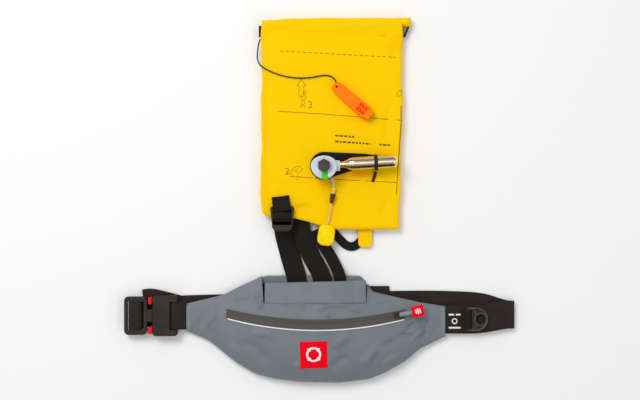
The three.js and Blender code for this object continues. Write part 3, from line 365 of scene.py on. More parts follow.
def webbing_material(name, colour, rib=0.0016):
    """Dyed webbing, uneven along its length, with painted shade in the grooves and a painted highlight on
    the ribs.
    """
    paint, tree, shader = start_material(name, colour, 0.78, sheen_weight=0.05,
                                         specular_ior_level=0.16)
    layer = wire(tree, "ShaderNodeUVMap", uv_map="metres")
    weave = wire(tree, "ShaderNodeGroup", {"UV": layer.outputs["UV"], "Rib": rib}, node_tree=WEAVE)
    # The rib height lightens the colour: painted highlight on the ribs, painted shade in the grooves.
    ribs = sums(tree, "MULTIPLY", weave.outputs["Height"], 0.55)
    share = sums(tree, "MULTIPLY_ADD", weave.outputs["Shade"], 0.45, ribs)
    low = tuple(0.55 * c for c in colour)
    high = tuple(1.7 * c for c in colour)
    tree.links.new(blend_colours(tree, share, low, high), shader.inputs["Base Color"])
    bump_into(tree, shader, weave.outputs["Height"], 0.0004)
    return paint


def flat_profile(width, thickness, edge_points=5):
    """The cross-section of webbing: flat faces and half-round edges, anticlockwise, with points
    between the edges so that the band can be bent across its width."""
    radius = thickness / 2
    reach = width / 2 - radius
    turn = np.linspace(-math.pi / 2, math.pi / 2, edge_points)
    right = np.stack([reach + radius * np.cos(turn), radius * np.sin(turn)], axis=1)
    between = np.linspace(reach, -reach, 6)[1:-1]
    top = np.stack([between, np.full(4, radius)], axis=1)
    left = -right
    bottom = np.stack([-between, np.full(4, -radius)], axis=1)
    return np.vstack([right, top, left, bottom])


belt_black = webbing_material("belt_black_weave", BELT_BLACK)
belt_high = Vector(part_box("belt_webbing")[1])
BELT_HALF = WEBBING_THICKNESS / 2
WRAP_FULLNESS = 0.0005       # how far the turn swells past its CAD solid, to fill the window
front_level = belt_high.z - BELT_HALF
low_level = BELT_HALF + 0.0001
fold_x = belt_high.x - BELT_HALF
plug_low, plug_high = (Vector(c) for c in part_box("belt_bar_wrap"))
plug_y = (plug_low.y + plug_high.y) / 2
wrap_top = plug_high.z - BELT_HALF
wrap_left = plug_low.x - WRAP_FULLNESS + BELT_HALF
wrap_right = plug_high.x - 0.0035

run_stations = [
    (0.1802, -0.172, front_level), (0.19, -0.1722, front_level), (0.222, -0.172, front_level),
    (0.240, -0.1700, front_level + 0.0004), (0.258, -0.1665, front_level + 0.001),
    (0.268, -0.1652, front_level + 0.0008), (fold_x - 0.0045, -0.1650, front_level - 0.0006),
    (fold_x - 0.0008, -0.1650, 0.0055), (fold_x - 0.0045, -0.1650, 0.0019),
    (0.268, -0.1646, low_level + 0.0002), (0.254, -0.1610, low_level), (0.232, -0.1545, low_level),
    (0.200, -0.1518, low_level), (0.150, -0.1508, low_level), (0.09, -0.1515, low_level),
    (0.0, -0.1535, low_level), (-0.10, -0.1555, low_level), (-0.16, -0.1565, low_level),
    (-0.21, -0.1585, low_level), (-0.24, -0.1615, low_level), (-0.256, -0.164, 0.0014),
    (-0.267, plug_y, 0.0032), (wrap_left + 0.0006, plug_y, 0.0072), (wrap_left, plug_y, 0.0125),
    (wrap_left + 0.0034, plug_y, wrap_top - 0.0006), (-0.2645, plug_y, wrap_top),
    (wrap_right - 0.0022, plug_y, wrap_top - 0.001), (wrap_right, plug_y, 0.0115),
    (wrap_right + 0.0005, plug_y, 0.0066), (wrap_right + 0.004, plug_y + 0.001, 0.0036),
]
belt_route = smooth_route(run_stations, 330)
belt = sweep("belt_run", belt_route, flat_profile(WEBBING_WIDTH, WEBBING_THICKNESS),
             across=(0.0, 1.0, 0.0))
belt.data.materials.append(belt_black)
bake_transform(belt)
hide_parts("belt_webbing", "belt_bar_wrap")

tail_route = smooth_route([(-0.2535, -0.1490, 0.0031), (-0.243, -0.1478, 0.0031),
                           (-0.226, -0.1515, 0.0030), (-0.2045, -0.1570, 0.0029)], 26)
tail = sweep("belt_tail_end", tail_route, flat_profile(WEBBING_WIDTH, WEBBING_THICKNESS),
             across=(0.1, 1.0, 0.0))
finish_piece(tail, "buckle_plug", belt_black, "black_webbing", "belt_tail")

tunnel_low, tunnel_high = (Vector(c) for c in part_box("belt_tunnel_tab"))
tunnel_x = (tunnel_low.x + tunnel_high.x) / 2
tunnel_z = (tunnel_low.z + tunnel_high.z) / 2
tunnel_route = smooth_route([(tunnel_x, tunnel_low.y, tunnel_z), (tunnel_x, tunnel_high.y, tunnel_z)], 12)
tunnel_tab = sweep("belt_tunnel_webbing", tunnel_route, flat_profile(tunnel_high.x - tunnel_low.x, 0.0014))
finish_piece(tunnel_tab, "pouch", belt_black, "black_webbing", "belt_tunnel_tab")


# ---------------------------------------------------------------- side-release buckle
# Two acetal mouldings. The plug is a round-cornered frame with a bar for the belt and a guide
# tongue; the socket is a deep hollow block, sewn to the pouch by a folded stub of webbing.


def moulded_group():
    """Moulded plastic skin: a fine even grain as a height, and slow dull patches from handling as
    a share from 0 to 1."""
    group, given, result = start_group(
        "moulded skin", [("Place", "Vector", (0, 0, 0)), ("Grain", "Float", 2600.0)],
        [("Height", "Float"), ("Handling", "Float")])
    grain = wire(group, "ShaderNodeTexNoise", {"Vector": given.outputs["Place"],
                                                 "Scale": given.outputs["Grain"], "Detail": 1.0})
    patch = wire(group, "ShaderNodeTexNoise", {"Vector": given.outputs["Place"], "Scale": 70.0,
                                                 "Detail": 4.0})
    share = wire(group, "ShaderNodeMapRange", {0: patch.outputs[0], 1: 0.35, 2: 0.7, 3: 0.0, 4: 1.0})
    group.links.new(grain.outputs[0], result.inputs["Height"])
    group.links.new(share.outputs[0], result.inputs["Handling"])
    return group


MOULDED = moulded_group()


def handled_skin(tree, shader, clean, worn, least_rough, most_rough, grain_depth):
    """Gives a shader the moulded skin's grain, and its colour and roughness from where it is clean
    to where hands have worn it."""
    place = wire(tree, "ShaderNodeTexCoord")
    skin = wire(tree, "ShaderNodeGroup", {"Place": place.outputs["Object"]}, node_tree=MOULDED)
    handling = skin.outputs["Handling"]
    tree.links.new(blend_colours(tree, handling, clean, worn), shader.inputs["Base Color"])
    rough = wire(tree, "ShaderNodeMapRange", {0: handling, 3: least_rough, 4: most_rough})
    tree.links.new(rough.outputs[0], shader.inputs["Roughness"])
    bump_into(tree, shader, skin.outputs["Height"], grain_depth)


def plastic_material(name, colour, roughness=0.42, coat=0.0, gloss=0.22):
    """Moulded plastic, a little duller and lighter where hands have worn it."""
    paint, tree, shader = start_material(name, colour, roughness, coat_weight=coat * 0.3,
                                         specular_ior_level=gloss)
    worn = tuple(min(1.0, 1.25 * c + 0.006) for c in colour)
    handled_skin(tree, shader, colour, worn, roughness - 0.05, roughness + 0.1, 0.00006)
    return paint


def places_of(thing):
    """A piece's vertices as rows of x, y and z."""
    places = np.zeros(len(thing.data.vertices) * 3)
    thing.data.vertices.foreach_get("co", places)
    return places.reshape(-1, 3)


def soften(thing, radius, segments):
    """Rounds a piece's sharp edges and shades it smooth between them."""
    thing.data.polygons.foreach_set("use_smooth", np.ones(len(thing.data.polygons), bool))
    bevel = thing.modifiers.new("round edges", "BEVEL")
    bevel.width = radius
    bevel.segments = segments
    bevel.limit_method = "ANGLE"
    bevel.angle_limit = math.radians(28)
    bevel.harden_normals = True


def softened_copy(name, node, radius, paint, slot, segments=3, reshape=None):
    """The CAD node's solid as a moulding: its flat faces made whole again, its places moved by a
    reshape where the cloth or the hand has bent it, and its sharp edges rounded to a radius."""
    source = frame["nodes"][node]
    thing = bpy.data.objects.new(name, source.data.copy())
    bpy.context.scene.collection.objects.link(thing)
    thing.data.materials.clear()
    with bpy.context.temp_override(active_object=thing, object=thing, selected_objects=[thing],
                                   selected_editable_objects=[thing]):
        weld = thing.modifiers.new("weld", "WELD")
        weld.merge_threshold = 0.00002
        bpy.ops.object.modifier_apply(modifier="weld")
        flat = thing.modifiers.new("flat", "DECIMATE")
        flat.decimate_type = "DISSOLVE"
        flat.angle_limit = math.radians(1.5)
        bpy.ops.object.modifier_apply(modifier="flat")
    if reshape is not None:
        thing.data.vertices.foreach_set("co", reshape(places_of(thing)).ravel())
    for layer in list(thing.data.uv_layers):
        thing.data.uv_layers.remove(layer)
    if thing.data.has_custom_normals:
        thing.data.attributes.remove(thing.data.attributes["custom_normal"])
    soften(thing, radius, segments)
    bodies = frame["record"]["behaviour"]["bodies"]
    body = next(owner for owner, members in bodies.items() if node in members)
    return finish_piece(thing, body, paint, slot, node)


buckle_black = plastic_material("buckle_black", (0.019, 0.0145, 0.0125), 0.36)
latch_red = plastic_material("latch_red", (0.92, 0.004, 0.012), 0.34, gloss=0.12)
softened_copy("buckle_plug_moulding", "buckle_plug", 0.0014, buckle_black, "black_plastic")
softened_copy("buckle_socket_moulding", "buckle_socket", 0.0012, buckle_black, "black_plastic")
for side in ("upper", "lower"):
    softened_copy(f"latch_arm_{side}_moulding", f"latch_arm_{side}", 0.0006, buckle_black, "black_plastic")
    softened_copy(f"latch_press_{side}", f"latch_button_{side}", 0.0013, latch_red, "red_plastic")

stub_low, stub_high = (Vector(c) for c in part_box("socket_stub_webbing"))
stub_y = (stub_low.y + stub_high.y) / 2
stub_turn = stub_low.x + BELT_HALF
stub_stations = [
    (-0.1927, stub_y, 0.0083), (-0.1965, stub_y, 0.0080), (-0.2025, stub_y, stub_low.z + 0.001),
    (-0.2095, stub_y, stub_low.z + 0.0011), (stub_turn + 0.0012, stub_y, 0.0084),
    (stub_turn, stub_y, 0.0112), (stub_turn + 0.0012, stub_y, 0.0140),
    (-0.2095, stub_y, stub_high.z - 0.0011), (-0.2035, stub_y, stub_high.z - 0.0018),
    (-0.1975, stub_y, 0.0118), (-0.1927, stub_y, 0.0102),
]
stub = sweep("socket_stub_band", smooth_route(stub_stations, 90),
             flat_profile(WEBBING_WIDTH, WEBBING_THICKNESS), across=(0.0, 1.0, 0.0))
finish_piece(stub, "pouch", belt_black, "black_webbing", "socket_stub_webbing")

# ---------------------------------------------------------------- pouch
# A bag of coated grey nylon: a flat back panel, and a domed front with a gathered wing sewn on at
# each end. The zip's band and a reflective cord cross the front, and the mouth above has a flap.

POUCH_LEFT, POUCH_RIGHT = -0.192, 0.180
POUCH_TOP = -0.108
POUCH_HEIGHT = 0.155
SEAM_LEVEL = 0.0071
LEFT_SEAM, RIGHT_SEAM = -0.150, 0.146
MOUTH_LEFT, MOUTH_RIGHT = -0.080, 0.066
FOLD_LINE = -0.147
TOP_EDGE = [(0, 0.735), (0.14, 0.815), (0.229, 0.923), (0.305, 0.994), (0.478, 1), (0.68, 0.994),
            (0.709, 0.852), (0.804, 0.8), (0.901, 0.748), (1, 0.71)]
BOTTOM_EDGE = [(0, 0.484), (0.086, 0.396), (0.189, 0.194), (0.266, 0.084), (0.344, 0.036),
               (0.44, 0.008), (0.593, 0), (0.709, 0.036), (0.766, 0.092), (0.843, 0.194),
               (0.901, 0.313), (1, 0.432)]
ZIP_RADIUS = 0.410
ZIP_MIDDLE = (-0.005, -0.1745, 0.038)
ZIP_LEFT, ZIP_RIGHT = -0.134, 0.122


def edge_line(stations, x):
    """The height on the table of an outline at x, its stations joined by short straight runs that
    a running mean rounds off."""
    share = (x - POUCH_LEFT) / (POUCH_RIGHT - POUCH_LEFT)
    along, up = np.array(stations, float).T
    offsets = np.linspace(-0.012, 0.012, 5)
    level = sum(np.interp(share + offset, along, up) for offset in offsets) / len(offsets)
    return POUCH_TOP - POUCH_HEIGHT * (1 - level)


def zip_line(x):
    """The zip's arc in its leaning plane: the circle's fall from its middle, six tenths of it up
    the table and eight tenths of it down."""
    fall = ZIP_RADIUS - np.sqrt(ZIP_RADIUS**2 - (x - ZIP_MIDDLE[0]) ** 2)
    return ZIP_MIDDLE[1] + 0.6 * fall, ZIP_MIDDLE[2] - 0.8 * fall


def roundness(share):
    """A full, flat-topped curve: the square root of one less the share to the power 2.4."""
    return np.sqrt(np.maximum(0.0, 1 - np.abs(share) ** 2.4))


def pouch_dome(x, y):
    """The height of the stuffed front: the seam's level and a crown that brings the zip's arc onto
    the cloth, times the roundness of the way from the middle line to the edge."""
    top, bottom = edge_line(TOP_EDGE, x), edge_line(BOTTOM_EDGE, x)
    middle, half = (top + bottom) / 2, (top - bottom) / 2
    zip_y, zip_z = zip_line(x)
    zip_share = np.clip((zip_y - middle) / half, -0.9, 0.9)
    crown = np.maximum(0.005, (zip_z - 0.0007 - SEAM_LEVEL) / roundness(zip_share))
    return SEAM_LEVEL + crown * roundness((y - middle) / half)


FOLDS = [
    # from x, y, to x, y, half-width, height: the deepest creases of the left wing
    (-0.176, -0.190, -0.150, -0.150, 0.0022, -0.0018), (-0.162, -0.206, -0.144, -0.166, 0.0026, -0.0016),
    # the fold and creases beside the right wing
    (0.139, -0.150, 0.150, -0.205, 0.0038, -0.0034), (0.148, -0.156, 0.160, -0.196, 0.0036, 0.0030),
    (0.120, -0.190, 0.152, -0.172, 0.0034, -0.0018), (0.128, -0.206, 0.156, -0.186, 0.0034, 0.0020),
    (0.156, -0.170, 0.177, -0.190, 0.0030, -0.0016), (0.158, -0.155, 0.176, -0.166, 0.0030, 0.0014),
    (0.104, -0.196, 0.140, -0.200, 0.0040, -0.0014),
    # soft creases under the mouth's fold
    (-0.078, -0.1495, 0.060, -0.1500, 0.0022, -0.0016), (-0.060, -0.1530, -0.010, -0.1590, 0.0032, -0.0016),
    (-0.012, -0.1590, 0.052, -0.1525, 0.0034, 0.0014), (0.006, -0.1600, 0.014, -0.1680, 0.0024, 0.0016),
    (0.040, -0.1540, 0.058, -0.1600, 0.0030, 0.0016), (-0.096, -0.128, -0.084, -0.158, 0.0040, 0.0018),
    (0.070, -0.150, 0.104, -0.144, 0.0036, 0.0014), (-0.124, -0.142, -0.098, -0.136, 0.0050, 0.0014),
    # the front's long slack folds round the badge
    (0.018, -0.214, 0.050, -0.190, 0.0060, 0.0016), (0.014, -0.244, 0.044, -0.222, 0.0055, -0.0014),
    (0.052, -0.250, 0.108, -0.206, 0.0070, 0.0020), (0.070, -0.236, 0.118, -0.198, 0.0060, -0.0018),
    (0.086, -0.244, 0.122, -0.222, 0.0050, 0.0016), (-0.118, -0.200, -0.070, -0.238, 0.0080, -0.0014),
    (-0.040, -0.232, -0.020, -0.252, 0.0060, 0.0012), (-0.100, -0.192, -0.060, -0.198, 0.0050, 0.0012),
    (-0.012, -0.250, 0.020, -0.256, 0.0050, -0.0010), (-0.134, -0.206, -0.116, -0.228, 0.0050, 0.0014),
]


def ease(share):
    """A share held between 0 and 1 that starts and ends gently: three squares less two cubes."""
    held = np.clip(share, 0, 1)
    return held * held * (3 - 2 * held)


def fold_field(folds, x, y):
    """The sum of soft ridges: each falls off as a bell curve across its line, and fades smoothly
    to nothing over the last third of its length at each end."""
    total = np.zeros_like(x)
    for x0, y0, x1, y1, width, height in folds:
        length = math.hypot(x1 - x0, y1 - y0)
        way_x, way_y = (x1 - x0) / length, (y1 - y0) / length
        along = ((x - x0) * way_x + (y - y0) * way_y) / length
        bend = 0.12 * length * np.sin(np.clip(along, 0, 1) * math.pi)
        aside = (y - y0) * way_x - (x - x0) * way_y - bend
        fade = ease(np.clip(along / 0.33, 0, 1) * np.clip((1 - along) / 0.33, 0, 1))
        total += height * fade * np.exp(-((aside / width) ** 2))
    return total


def gathers(x, y, middle, reach, slope, pitch, height):
    """Cloth drawn together beside a seam: sharp-crested ridges that run at a slope, their spacing
    made uneven by slow waves, strongest at the middle and gone at the reach to each side."""
    aside = x * math.sin(slope) - y * math.cos(slope) + 0.0022 * slow_waves(x, y, seed=31, size=0.045)
    crest = 1 - np.abs(np.sin(aside * math.pi / pitch)) ** 0.75
    mask = np.clip(1 - ((x - middle) / reach) ** 2, 0, 1)
    uneven = 0.6 + 0.6 * slow_waves(x, y, seed=33, size=0.03)
    return height * mask * uneven * (crest - 0.35)


WAVES = 9


def slow_waves(x, y, seed, size):
    """A gentle unevenness: the mean of a few waves of like length that cross at seeded angles."""
    chance = np.random.default_rng(seed)
    total = np.zeros_like(x)
    for _ in range(WAVES):
        angle, phase = chance.uniform(0, 2 * math.pi, 2)
        stretch = size * chance.uniform(0.6, 1.6)
        total += np.sin((x * math.cos(angle) + y * math.sin(angle)) * 2 * math.pi / stretch + phase)
    return total / WAVES


FOLD_DEPTH = 2.3             # what the heights in FOLDS are multiplied by
EDGE_EASE = 0.012            # the way in from the sewn edge over which the folds grow
FULL_RISE = 0.016            # the dome's rise where the folds are at their full height


def pouch_skin(x, y):
    """The front cloth's height: the dome, its folds, a slow unevenness and the two wing seams, all
    easing off toward the sewn edge, and the folds also along the stiff zip and where the dome is
    low."""
    top, bottom = edge_line(TOP_EDGE, x), edge_line(BOTTOM_EDGE, x)
    inside = np.clip(np.minimum(top - y, y - bottom) / EDGE_EASE, 0, 1)
    from_zip = y - zip_line(np.clip(x, ZIP_LEFT, ZIP_RIGHT))[0] + 0.004
    near_zip = 1 - 0.85 * np.exp(-((from_zip / 0.009) ** 2))
    level = pouch_dome(x, y)
    fullness = np.clip((level - SEAM_LEVEL) / FULL_RISE, 0.4, 1)
    relief = FOLD_DEPTH * fold_field(FOLDS, x, y) + 0.0022 * slow_waves(x, y, seed=4, size=0.05)
    relief = relief + gathers(x, y, middle=-0.164, reach=0.026, slope=0.95, pitch=0.0092, height=0.0042)
    relief = relief + gathers(x, y, middle=0.152, reach=0.016, slope=2.05, pitch=0.0105, height=0.0030)
    level = level + inside * near_zip * fullness * relief
    for seam in (LEFT_SEAM, RIGHT_SEAM):
        level = level - inside * 0.0012 * np.exp(-(((x - seam) / 0.0011) ** 2))
    return np.maximum(level, SEAM_LEVEL)


def grid_piece(name, places, uv=None, keep=None):
    """An open sheet from a grid of places, rows first, with the faces that keep leaves out dropped.
    It faces up when the columns run along +X and the rows along +Y."""
    rows, columns = places.shape[:2]
    row, column = np.meshgrid(np.arange(rows - 1), np.arange(columns - 1), indexing="ij")
    corner = row * columns + column
    faces = np.stack([corner, corner + 1, corner + columns + 1, corner + columns], axis=-1)
    faces = faces[keep] if keep is not None else faces.reshape(-1, 4)
    if uv is None:
        uv = places[..., :2]
    return new_object(name, places.reshape(-1, 3), faces, uv.reshape(-1, 2))


def thicken(thing, thickness):
    """Gives a sheet its thickness, below its drawn face."""
    solid = thing.modifiers.new("thickness", "SOLIDIFY")
    solid.thickness = thickness
    solid.offset = -1


def cloth_group():
    """Woven cloth: a plain weave's over-and-under threads as a height, thread-to-thread unevenness
    and slow smudges as a shade, both from 0 to 1."""
    group, given, result = start_group(
        "plain weave", [("UV", "Vector", (0, 0, 0)), ("Thread", "Float", 0.0006)],
        [("Height", "Float"), ("Shade", "Float")])
    parts = wire(group, "ShaderNodeSeparateXYZ", {0: given.outputs["UV"]})
    turn = sums(group, "DIVIDE", math.pi, given.outputs["Thread"])
    warp = sums(group, "SINE", sums(group, "MULTIPLY", parts.outputs[0], turn))
    weft = sums(group, "SINE", sums(group, "MULTIPLY", parts.outputs[1], turn))
    over = sums(group, "MULTIPLY_ADD", sums(group, "MULTIPLY", warp, weft), 0.5, 0.5)
    smudge = wire(group, "ShaderNodeTexNoise", {"Vector": given.outputs["UV"], "Scale": 26.0,
                                                  "Detail": 5.0, "Roughness": 0.6})
    fibre = wire(group, "ShaderNodeTexNoise", {"Vector": given.outputs["UV"], "Scale": 900.0})
    fibres = sums(group, "MULTIPLY", fibre.outputs[0], 0.3)
    mixed = sums(group, "MULTIPLY_ADD", smudge.outputs[0], 0.7, fibres)
    group.links.new(over, result.inputs["Height"])
    group.links.new(mixed, result.inputs["Shade"])
    return group


CLOTH = cloth_group()


def cloth_material(name, colour, roughness, thread=0.0006, depth=0.00012, sheen=0.2, spread=0.16,
                   coat=0.0, gloss=0.12):
    """Dyed woven cloth, a little paler where it is rubbed."""
    paint, tree, shader = start_material(name, colour, roughness, sheen_weight=sheen, coat_weight=coat,
                                         specular_ior_level=gloss)
    layer = wire(tree, "ShaderNodeUVMap", uv_map="metres")
    weave = wire(tree, "ShaderNodeGroup", {"UV": layer.outputs["UV"], "Thread": thread}, node_tree=CLOTH)
    low = tuple(c * (1 - spread) for c in colour)
    high = tuple(min(1.0, c * (1 + spread)) for c in colour)
    tree.links.new(blend_colours(tree, weave.outputs["Shade"], low, high), shader.inputs["Base Color"])
    bump_into(tree, shader, weave.outputs["Height"], depth)
    return paint


pouch_grey = cloth_material("pouch_nylon", (0.172, 0.196, 0.213), 0.5, sheen=0.05, gloss=0.35)

# The grid's rows crowd toward the two sewn edges, and its columns part a little at the mouth's ends.
SLIT = 0.0036
SLIT_REACH = 0.012
columns = np.concatenate([np.linspace(POUCH_LEFT, MOUTH_LEFT, 86)[:-1],
                          np.linspace(MOUTH_LEFT, MOUTH_RIGHT, 110)[:-1],
                          np.linspace(MOUTH_RIGHT, POUCH_RIGHT, 88)])
top_line, bottom_line = edge_line(TOP_EDGE, columns), edge_line(BOTTOM_EDGE, columns)
split = np.minimum(FOLD_LINE, bottom_line + 0.84 * (top_line - bottom_line))
ease_up = 1 - np.cos(np.linspace(0, 0.5, 84) * math.pi)
lower = bottom_line + (split - bottom_line) * ease_up[:, None]
ease_in = np.sin(np.linspace(0, 0.5, 36) * math.pi)[1:]
upper = split + (top_line - split) * ease_in[:, None]
grid_y = np.vstack([lower, upper])
slit = SLIT * np.concatenate([np.zeros(lower.shape[0]), ease_in])[:, None]
beside_left = np.where(columns <= MOUTH_LEFT, np.exp(-((columns - MOUTH_LEFT) / SLIT_REACH) ** 2), 0)
beside_right = np.where(columns >= MOUTH_RIGHT, np.exp(-((columns - MOUTH_RIGHT) / SLIT_REACH) ** 2), 0)
grid_x = columns - slit * beside_left + 0.7 * slit * beside_right
skin = np.stack([grid_x, grid_y, pouch_skin(grid_x, grid_y)], axis=-1)
cell_row = np.arange(grid_y.shape[0] - 1)[:, None]
cell_middle = (columns[:-1] + columns[1:]) / 2
in_mouth = (cell_middle > MOUTH_LEFT) & (cell_middle < MOUTH_RIGHT) & (cell_row >= lower.shape[0] - 1)
front = grid_piece("pouch_front_cloth", skin, keep=~in_mouth)
thicken(front, 0.0009)
finish_piece(front, "pouch", pouch_grey, "grey_cloth", "pouch_front_panel", "pouch_left_wing",
             "pouch_right_wing")


def level_at(height):
    """A surface that is level everywhere."""
    return lambda x, y: np.full(np.shape(x), float(height))


def slab_piece(name, x, bottom, top, low, high, rim, rows):
    """A closed flat piece between two outlines: an upper and a lower face that meet all round in a
    rim rounded over the rim width."""
    v = np.sin((np.linspace(0, 1, rows) - 0.5) * math.pi) / 2 + 0.5
    y = bottom + (top - bottom) * v[:, None]
    grid_x = np.broadcast_to(x, y.shape)
    reach = np.minimum(np.minimum(y - bottom, top - y), np.minimum(grid_x - x[0], x[-1] - grid_x))
    share = np.sqrt(1 - (1 - np.clip(reach / rim, 0, 1)) ** 2)
    low, high = low(grid_x, y), high(grid_x, y)
    middle, half = (low + high) / 2, (high - low) / 2
    rows, columns = y.shape
    upper = np.stack([grid_x, y, middle + half * share], axis=-1).reshape(-1, 3)
    under = np.stack([grid_x, y, middle - half * share], axis=-1).reshape(-1, 3)
    number = np.arange(rows * columns).reshape(rows, columns)
    inner = np.full((rows, columns), -1)
    inner[1:-1, 1:-1] = rows * columns + np.arange((rows - 2) * (columns - 2)).reshape(rows - 2, -1)
    below = np.where(inner < 0, number, inner)
    places = np.vstack([upper, under.reshape(rows, columns, 3)[1:-1, 1:-1].reshape(-1, 3)])

    def quads(index, flip):
        a, b, c, d = index[:-1, :-1], index[:-1, 1:], index[1:, 1:], index[1:, :-1]
        order = (a, d, c, b) if flip else (a, b, c, d)
        return np.stack(order, axis=-1).reshape(-1, 4)

    faces = np.vstack([quads(number, False), quads(below, True)])
    return new_object(name, places, faces, places[:, :2])


back_low, back_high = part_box("pouch_back_panel")
back_columns = np.linspace(POUCH_LEFT, POUCH_RIGHT, 200)
back = slab_piece("pouch_back_cloth", back_columns, edge_line(BOTTOM_EDGE, back_columns),
                  edge_line(TOP_EDGE, back_columns), level_at(back_low[2]), level_at(back_high[2]),
                  0.0016, 70)
finish_piece(back, "pouch", pouch_grey, "grey_cloth", "pouch_back_panel")

# The flap is the mouth's front edge turned up at the fold: stiff double cloth with a sewn hem.
flap_x = np.linspace(MOUTH_LEFT + 0.0012, MOUTH_RIGHT - 0.0006, 120)
flap_top = -0.1185 + 0.0036 * (flap_x - flap_x[0]) / (flap_x[-1] - flap_x[0])
flap_share = np.linspace(0, 1, 34)[:, None]
flap_y = FOLD_LINE + 0.0001 + (flap_top - FOLD_LINE - 0.0001) * flap_share
flap_grid_x = np.broadcast_to(flap_x, flap_y.shape)
fold_level = pouch_skin(flap_grid_x, np.full_like(flap_y, FOLD_LINE))
flap_wave = 0.0030 * np.minimum(1, 5 * flap_share) * slow_waves(flap_grid_x, flap_y, seed=11, size=0.055)
flap_roll = 0.0007 * np.exp(-(((flap_share - 0.10) / 0.05) ** 2)) * (flap_share > 0)
flap_hem = 0.0005 * (flap_share > 0.86)
flap_rise = fold_level * (1 - 0.36 * flap_share**1.3) + flap_wave + flap_roll + flap_hem
flap = grid_piece("mouth_flap_cloth", np.stack([flap_grid_x, flap_y, flap_rise], axis=-1))
thicken(flap, 0.0013)
finish_piece(flap, "mouth_flap", pouch_grey, "grey_cloth", "mouth_flap")


def on_pouch(x, y, lift):
    """Places on the front cloth, raised by a lift."""
    x, y = np.asarray(x, float), np.asarray(y, float)
    return np.stack([x, y, pouch_skin(x, y) + lift], axis=-1)


def front_band(name, start, end, low_offset, high_offset, lift, thickness, rows=8):
    """A strip along the zip's line, from one offset across it to another, that narrows toward its
    ends by an eighth."""
    x = np.linspace(start, end, 200)
    way = (x - (start + end) / 2) / ((end - start) / 2)
    centre = zip_line(x)[0] + 0.0022 * way**2
    narrow = 1 - 0.12 * np.abs(way) ** 3
    share = np.linspace(0, 1, rows)[:, None]
    y = centre + (low_offset + (high_offset - low_offset) * share) * narrow
    grid_x = np.broadcast_to(x, y.shape)
    level = pouch_skin(grid_x, y) + lift
    uv = np.stack([grid_x, np.broadcast_to(share * (high_offset - low_offset), y.shape)], axis=-1)
    band = grid_piece(name, np.stack([grid_x, y, level], axis=-1), uv)
    thicken(band, thickness)
    return band


zip_dark = cloth_material("zip_tape_weave", (0.092, 0.082, 0.076), 0.7, thread=0.0009, depth=0.0002)
upper_tape = front_band("zip_upper_tape", ZIP_LEFT, ZIP_RIGHT, 0.0014, 0.0050, 0.0009, 0.0012)
finish_piece(upper_tape, "pouch", zip_dark, "zip_cloth", "zip_tape_upper")
lower_tape = front_band("zip_lower_tape", ZIP_LEFT, ZIP_RIGHT, -0.0100, -0.0002, 0.0009, 0.0012, 12)
finish_piece(lower_tape, "pouch", zip_dark, "zip_cloth", "zip_tape_lower")
coil = front_band("zip_cover_edge", ZIP_LEFT + 0.002, ZIP_RIGHT - 0.002, -0.0004, 0.0016, 0.0013, 0.0012)
finish_piece(coil, "pouch", zip_dark, "zip_cloth", "zip_coil")

piping_x = np.linspace(ZIP_LEFT + 0.002, ZIP_RIGHT - 0.002, 130)
piping_y = zip_line(piping_x)[0] - 0.0104 + 0.0030 * (piping_x / 0.13) ** 2
reflective = cloth_material("reflective_tape", (0.83, 0.84, 0.86), 0.25, thread=0.0004, depth=0.00008,
                            sheen=0.0, spread=0.06, coat=0.4)
piping = sweep("reflective_cord", on_pouch(piping_x, piping_y, 0.0008), round_profile(0.0010, 12))
finish_piece(piping, "pouch", reflective, "reflective_white", "reflective_piping")

# A near-black sheet over the back panel inside the mouth is painted shade: it makes the gaps round the
# mouth show dark.
mouth_shade_x = np.linspace(MOUTH_LEFT - 0.015, MOUTH_RIGHT, 24)
mouth_shade_y = np.linspace(-0.215, -0.1205, 14)[:, None] + 0 * mouth_shade_x
mouth_shade_places = np.stack([mouth_shade_x + 0 * mouth_shade_y, mouth_shade_y, np.full_like(mouth_shade_y, 0.00698)], axis=-1)
mouth_shade_cloth = cloth_material("mouth_shade_sheet_paint", (0.012, 0.012, 0.013), 0.9, thread=0.0012, depth=0.0003)
finish_piece(grid_piece("pouch_mouth_shade_sheet", mouth_shade_places), "pouch", mouth_shade_cloth, "zip_cloth")

# The badge is a square of rubbery film pressed on the cloth, with a plain ring on it.
BADGE = (-0.0090, -0.2200)
BADGE_SIDE = 0.0388
BADGE_TURN = math.radians(1.8)


def turned(centre, angle, x, y):
    """Flat places turned about a centre and moved there."""
    cos, sin = math.cos(angle), math.sin(angle)
    return centre[0] + x * cos - y * sin, centre[1] + x * sin + y * cos


def rim_share(x, y, half, corner):
    """How far in from a rounded square's edge a place is, in corner radii, from 0 to 1."""
    over_x = np.maximum(np.abs(x) - (half - corner), 0)
    over_y = np.maximum(np.abs(y) - (half - corner), 0)
    return np.clip(1 - np.hypot(over_x, over_y) / corner, 0, 1)


side_steps = np.sin(np.linspace(-0.5, 0.5, 60) * math.pi) * BADGE_SIDE / 2
badge_x, badge_y = np.meshgrid(side_steps, side_steps)
badge_places_x, badge_places_y = turned(BADGE, BADGE_TURN, badge_x, badge_y)
badge_edge = np.sqrt(np.clip(rim_share(badge_x, badge_y, BADGE_SIDE / 2, 0.0012), 0, 1))
badge_level = pouch_skin(badge_places_x, badge_places_y) + 0.0001 + 0.0007 * badge_edge
badge_paint = cloth_material("badge_film", (0.92, 0.001, 0.012), 0.4, thread=0.0005, depth=0.00005,
                             sheen=0.0, spread=0.05, coat=0.0, gloss=0.04)
badge = grid_piece("badge_square", np.stack([badge_places_x, badge_places_y, badge_level], axis=-1),
                   np.stack([badge_x, badge_y], axis=-1))
thicken(badge, 0.0005)
finish_piece(badge, "pouch", badge_paint, "badge_red", "square_badge")


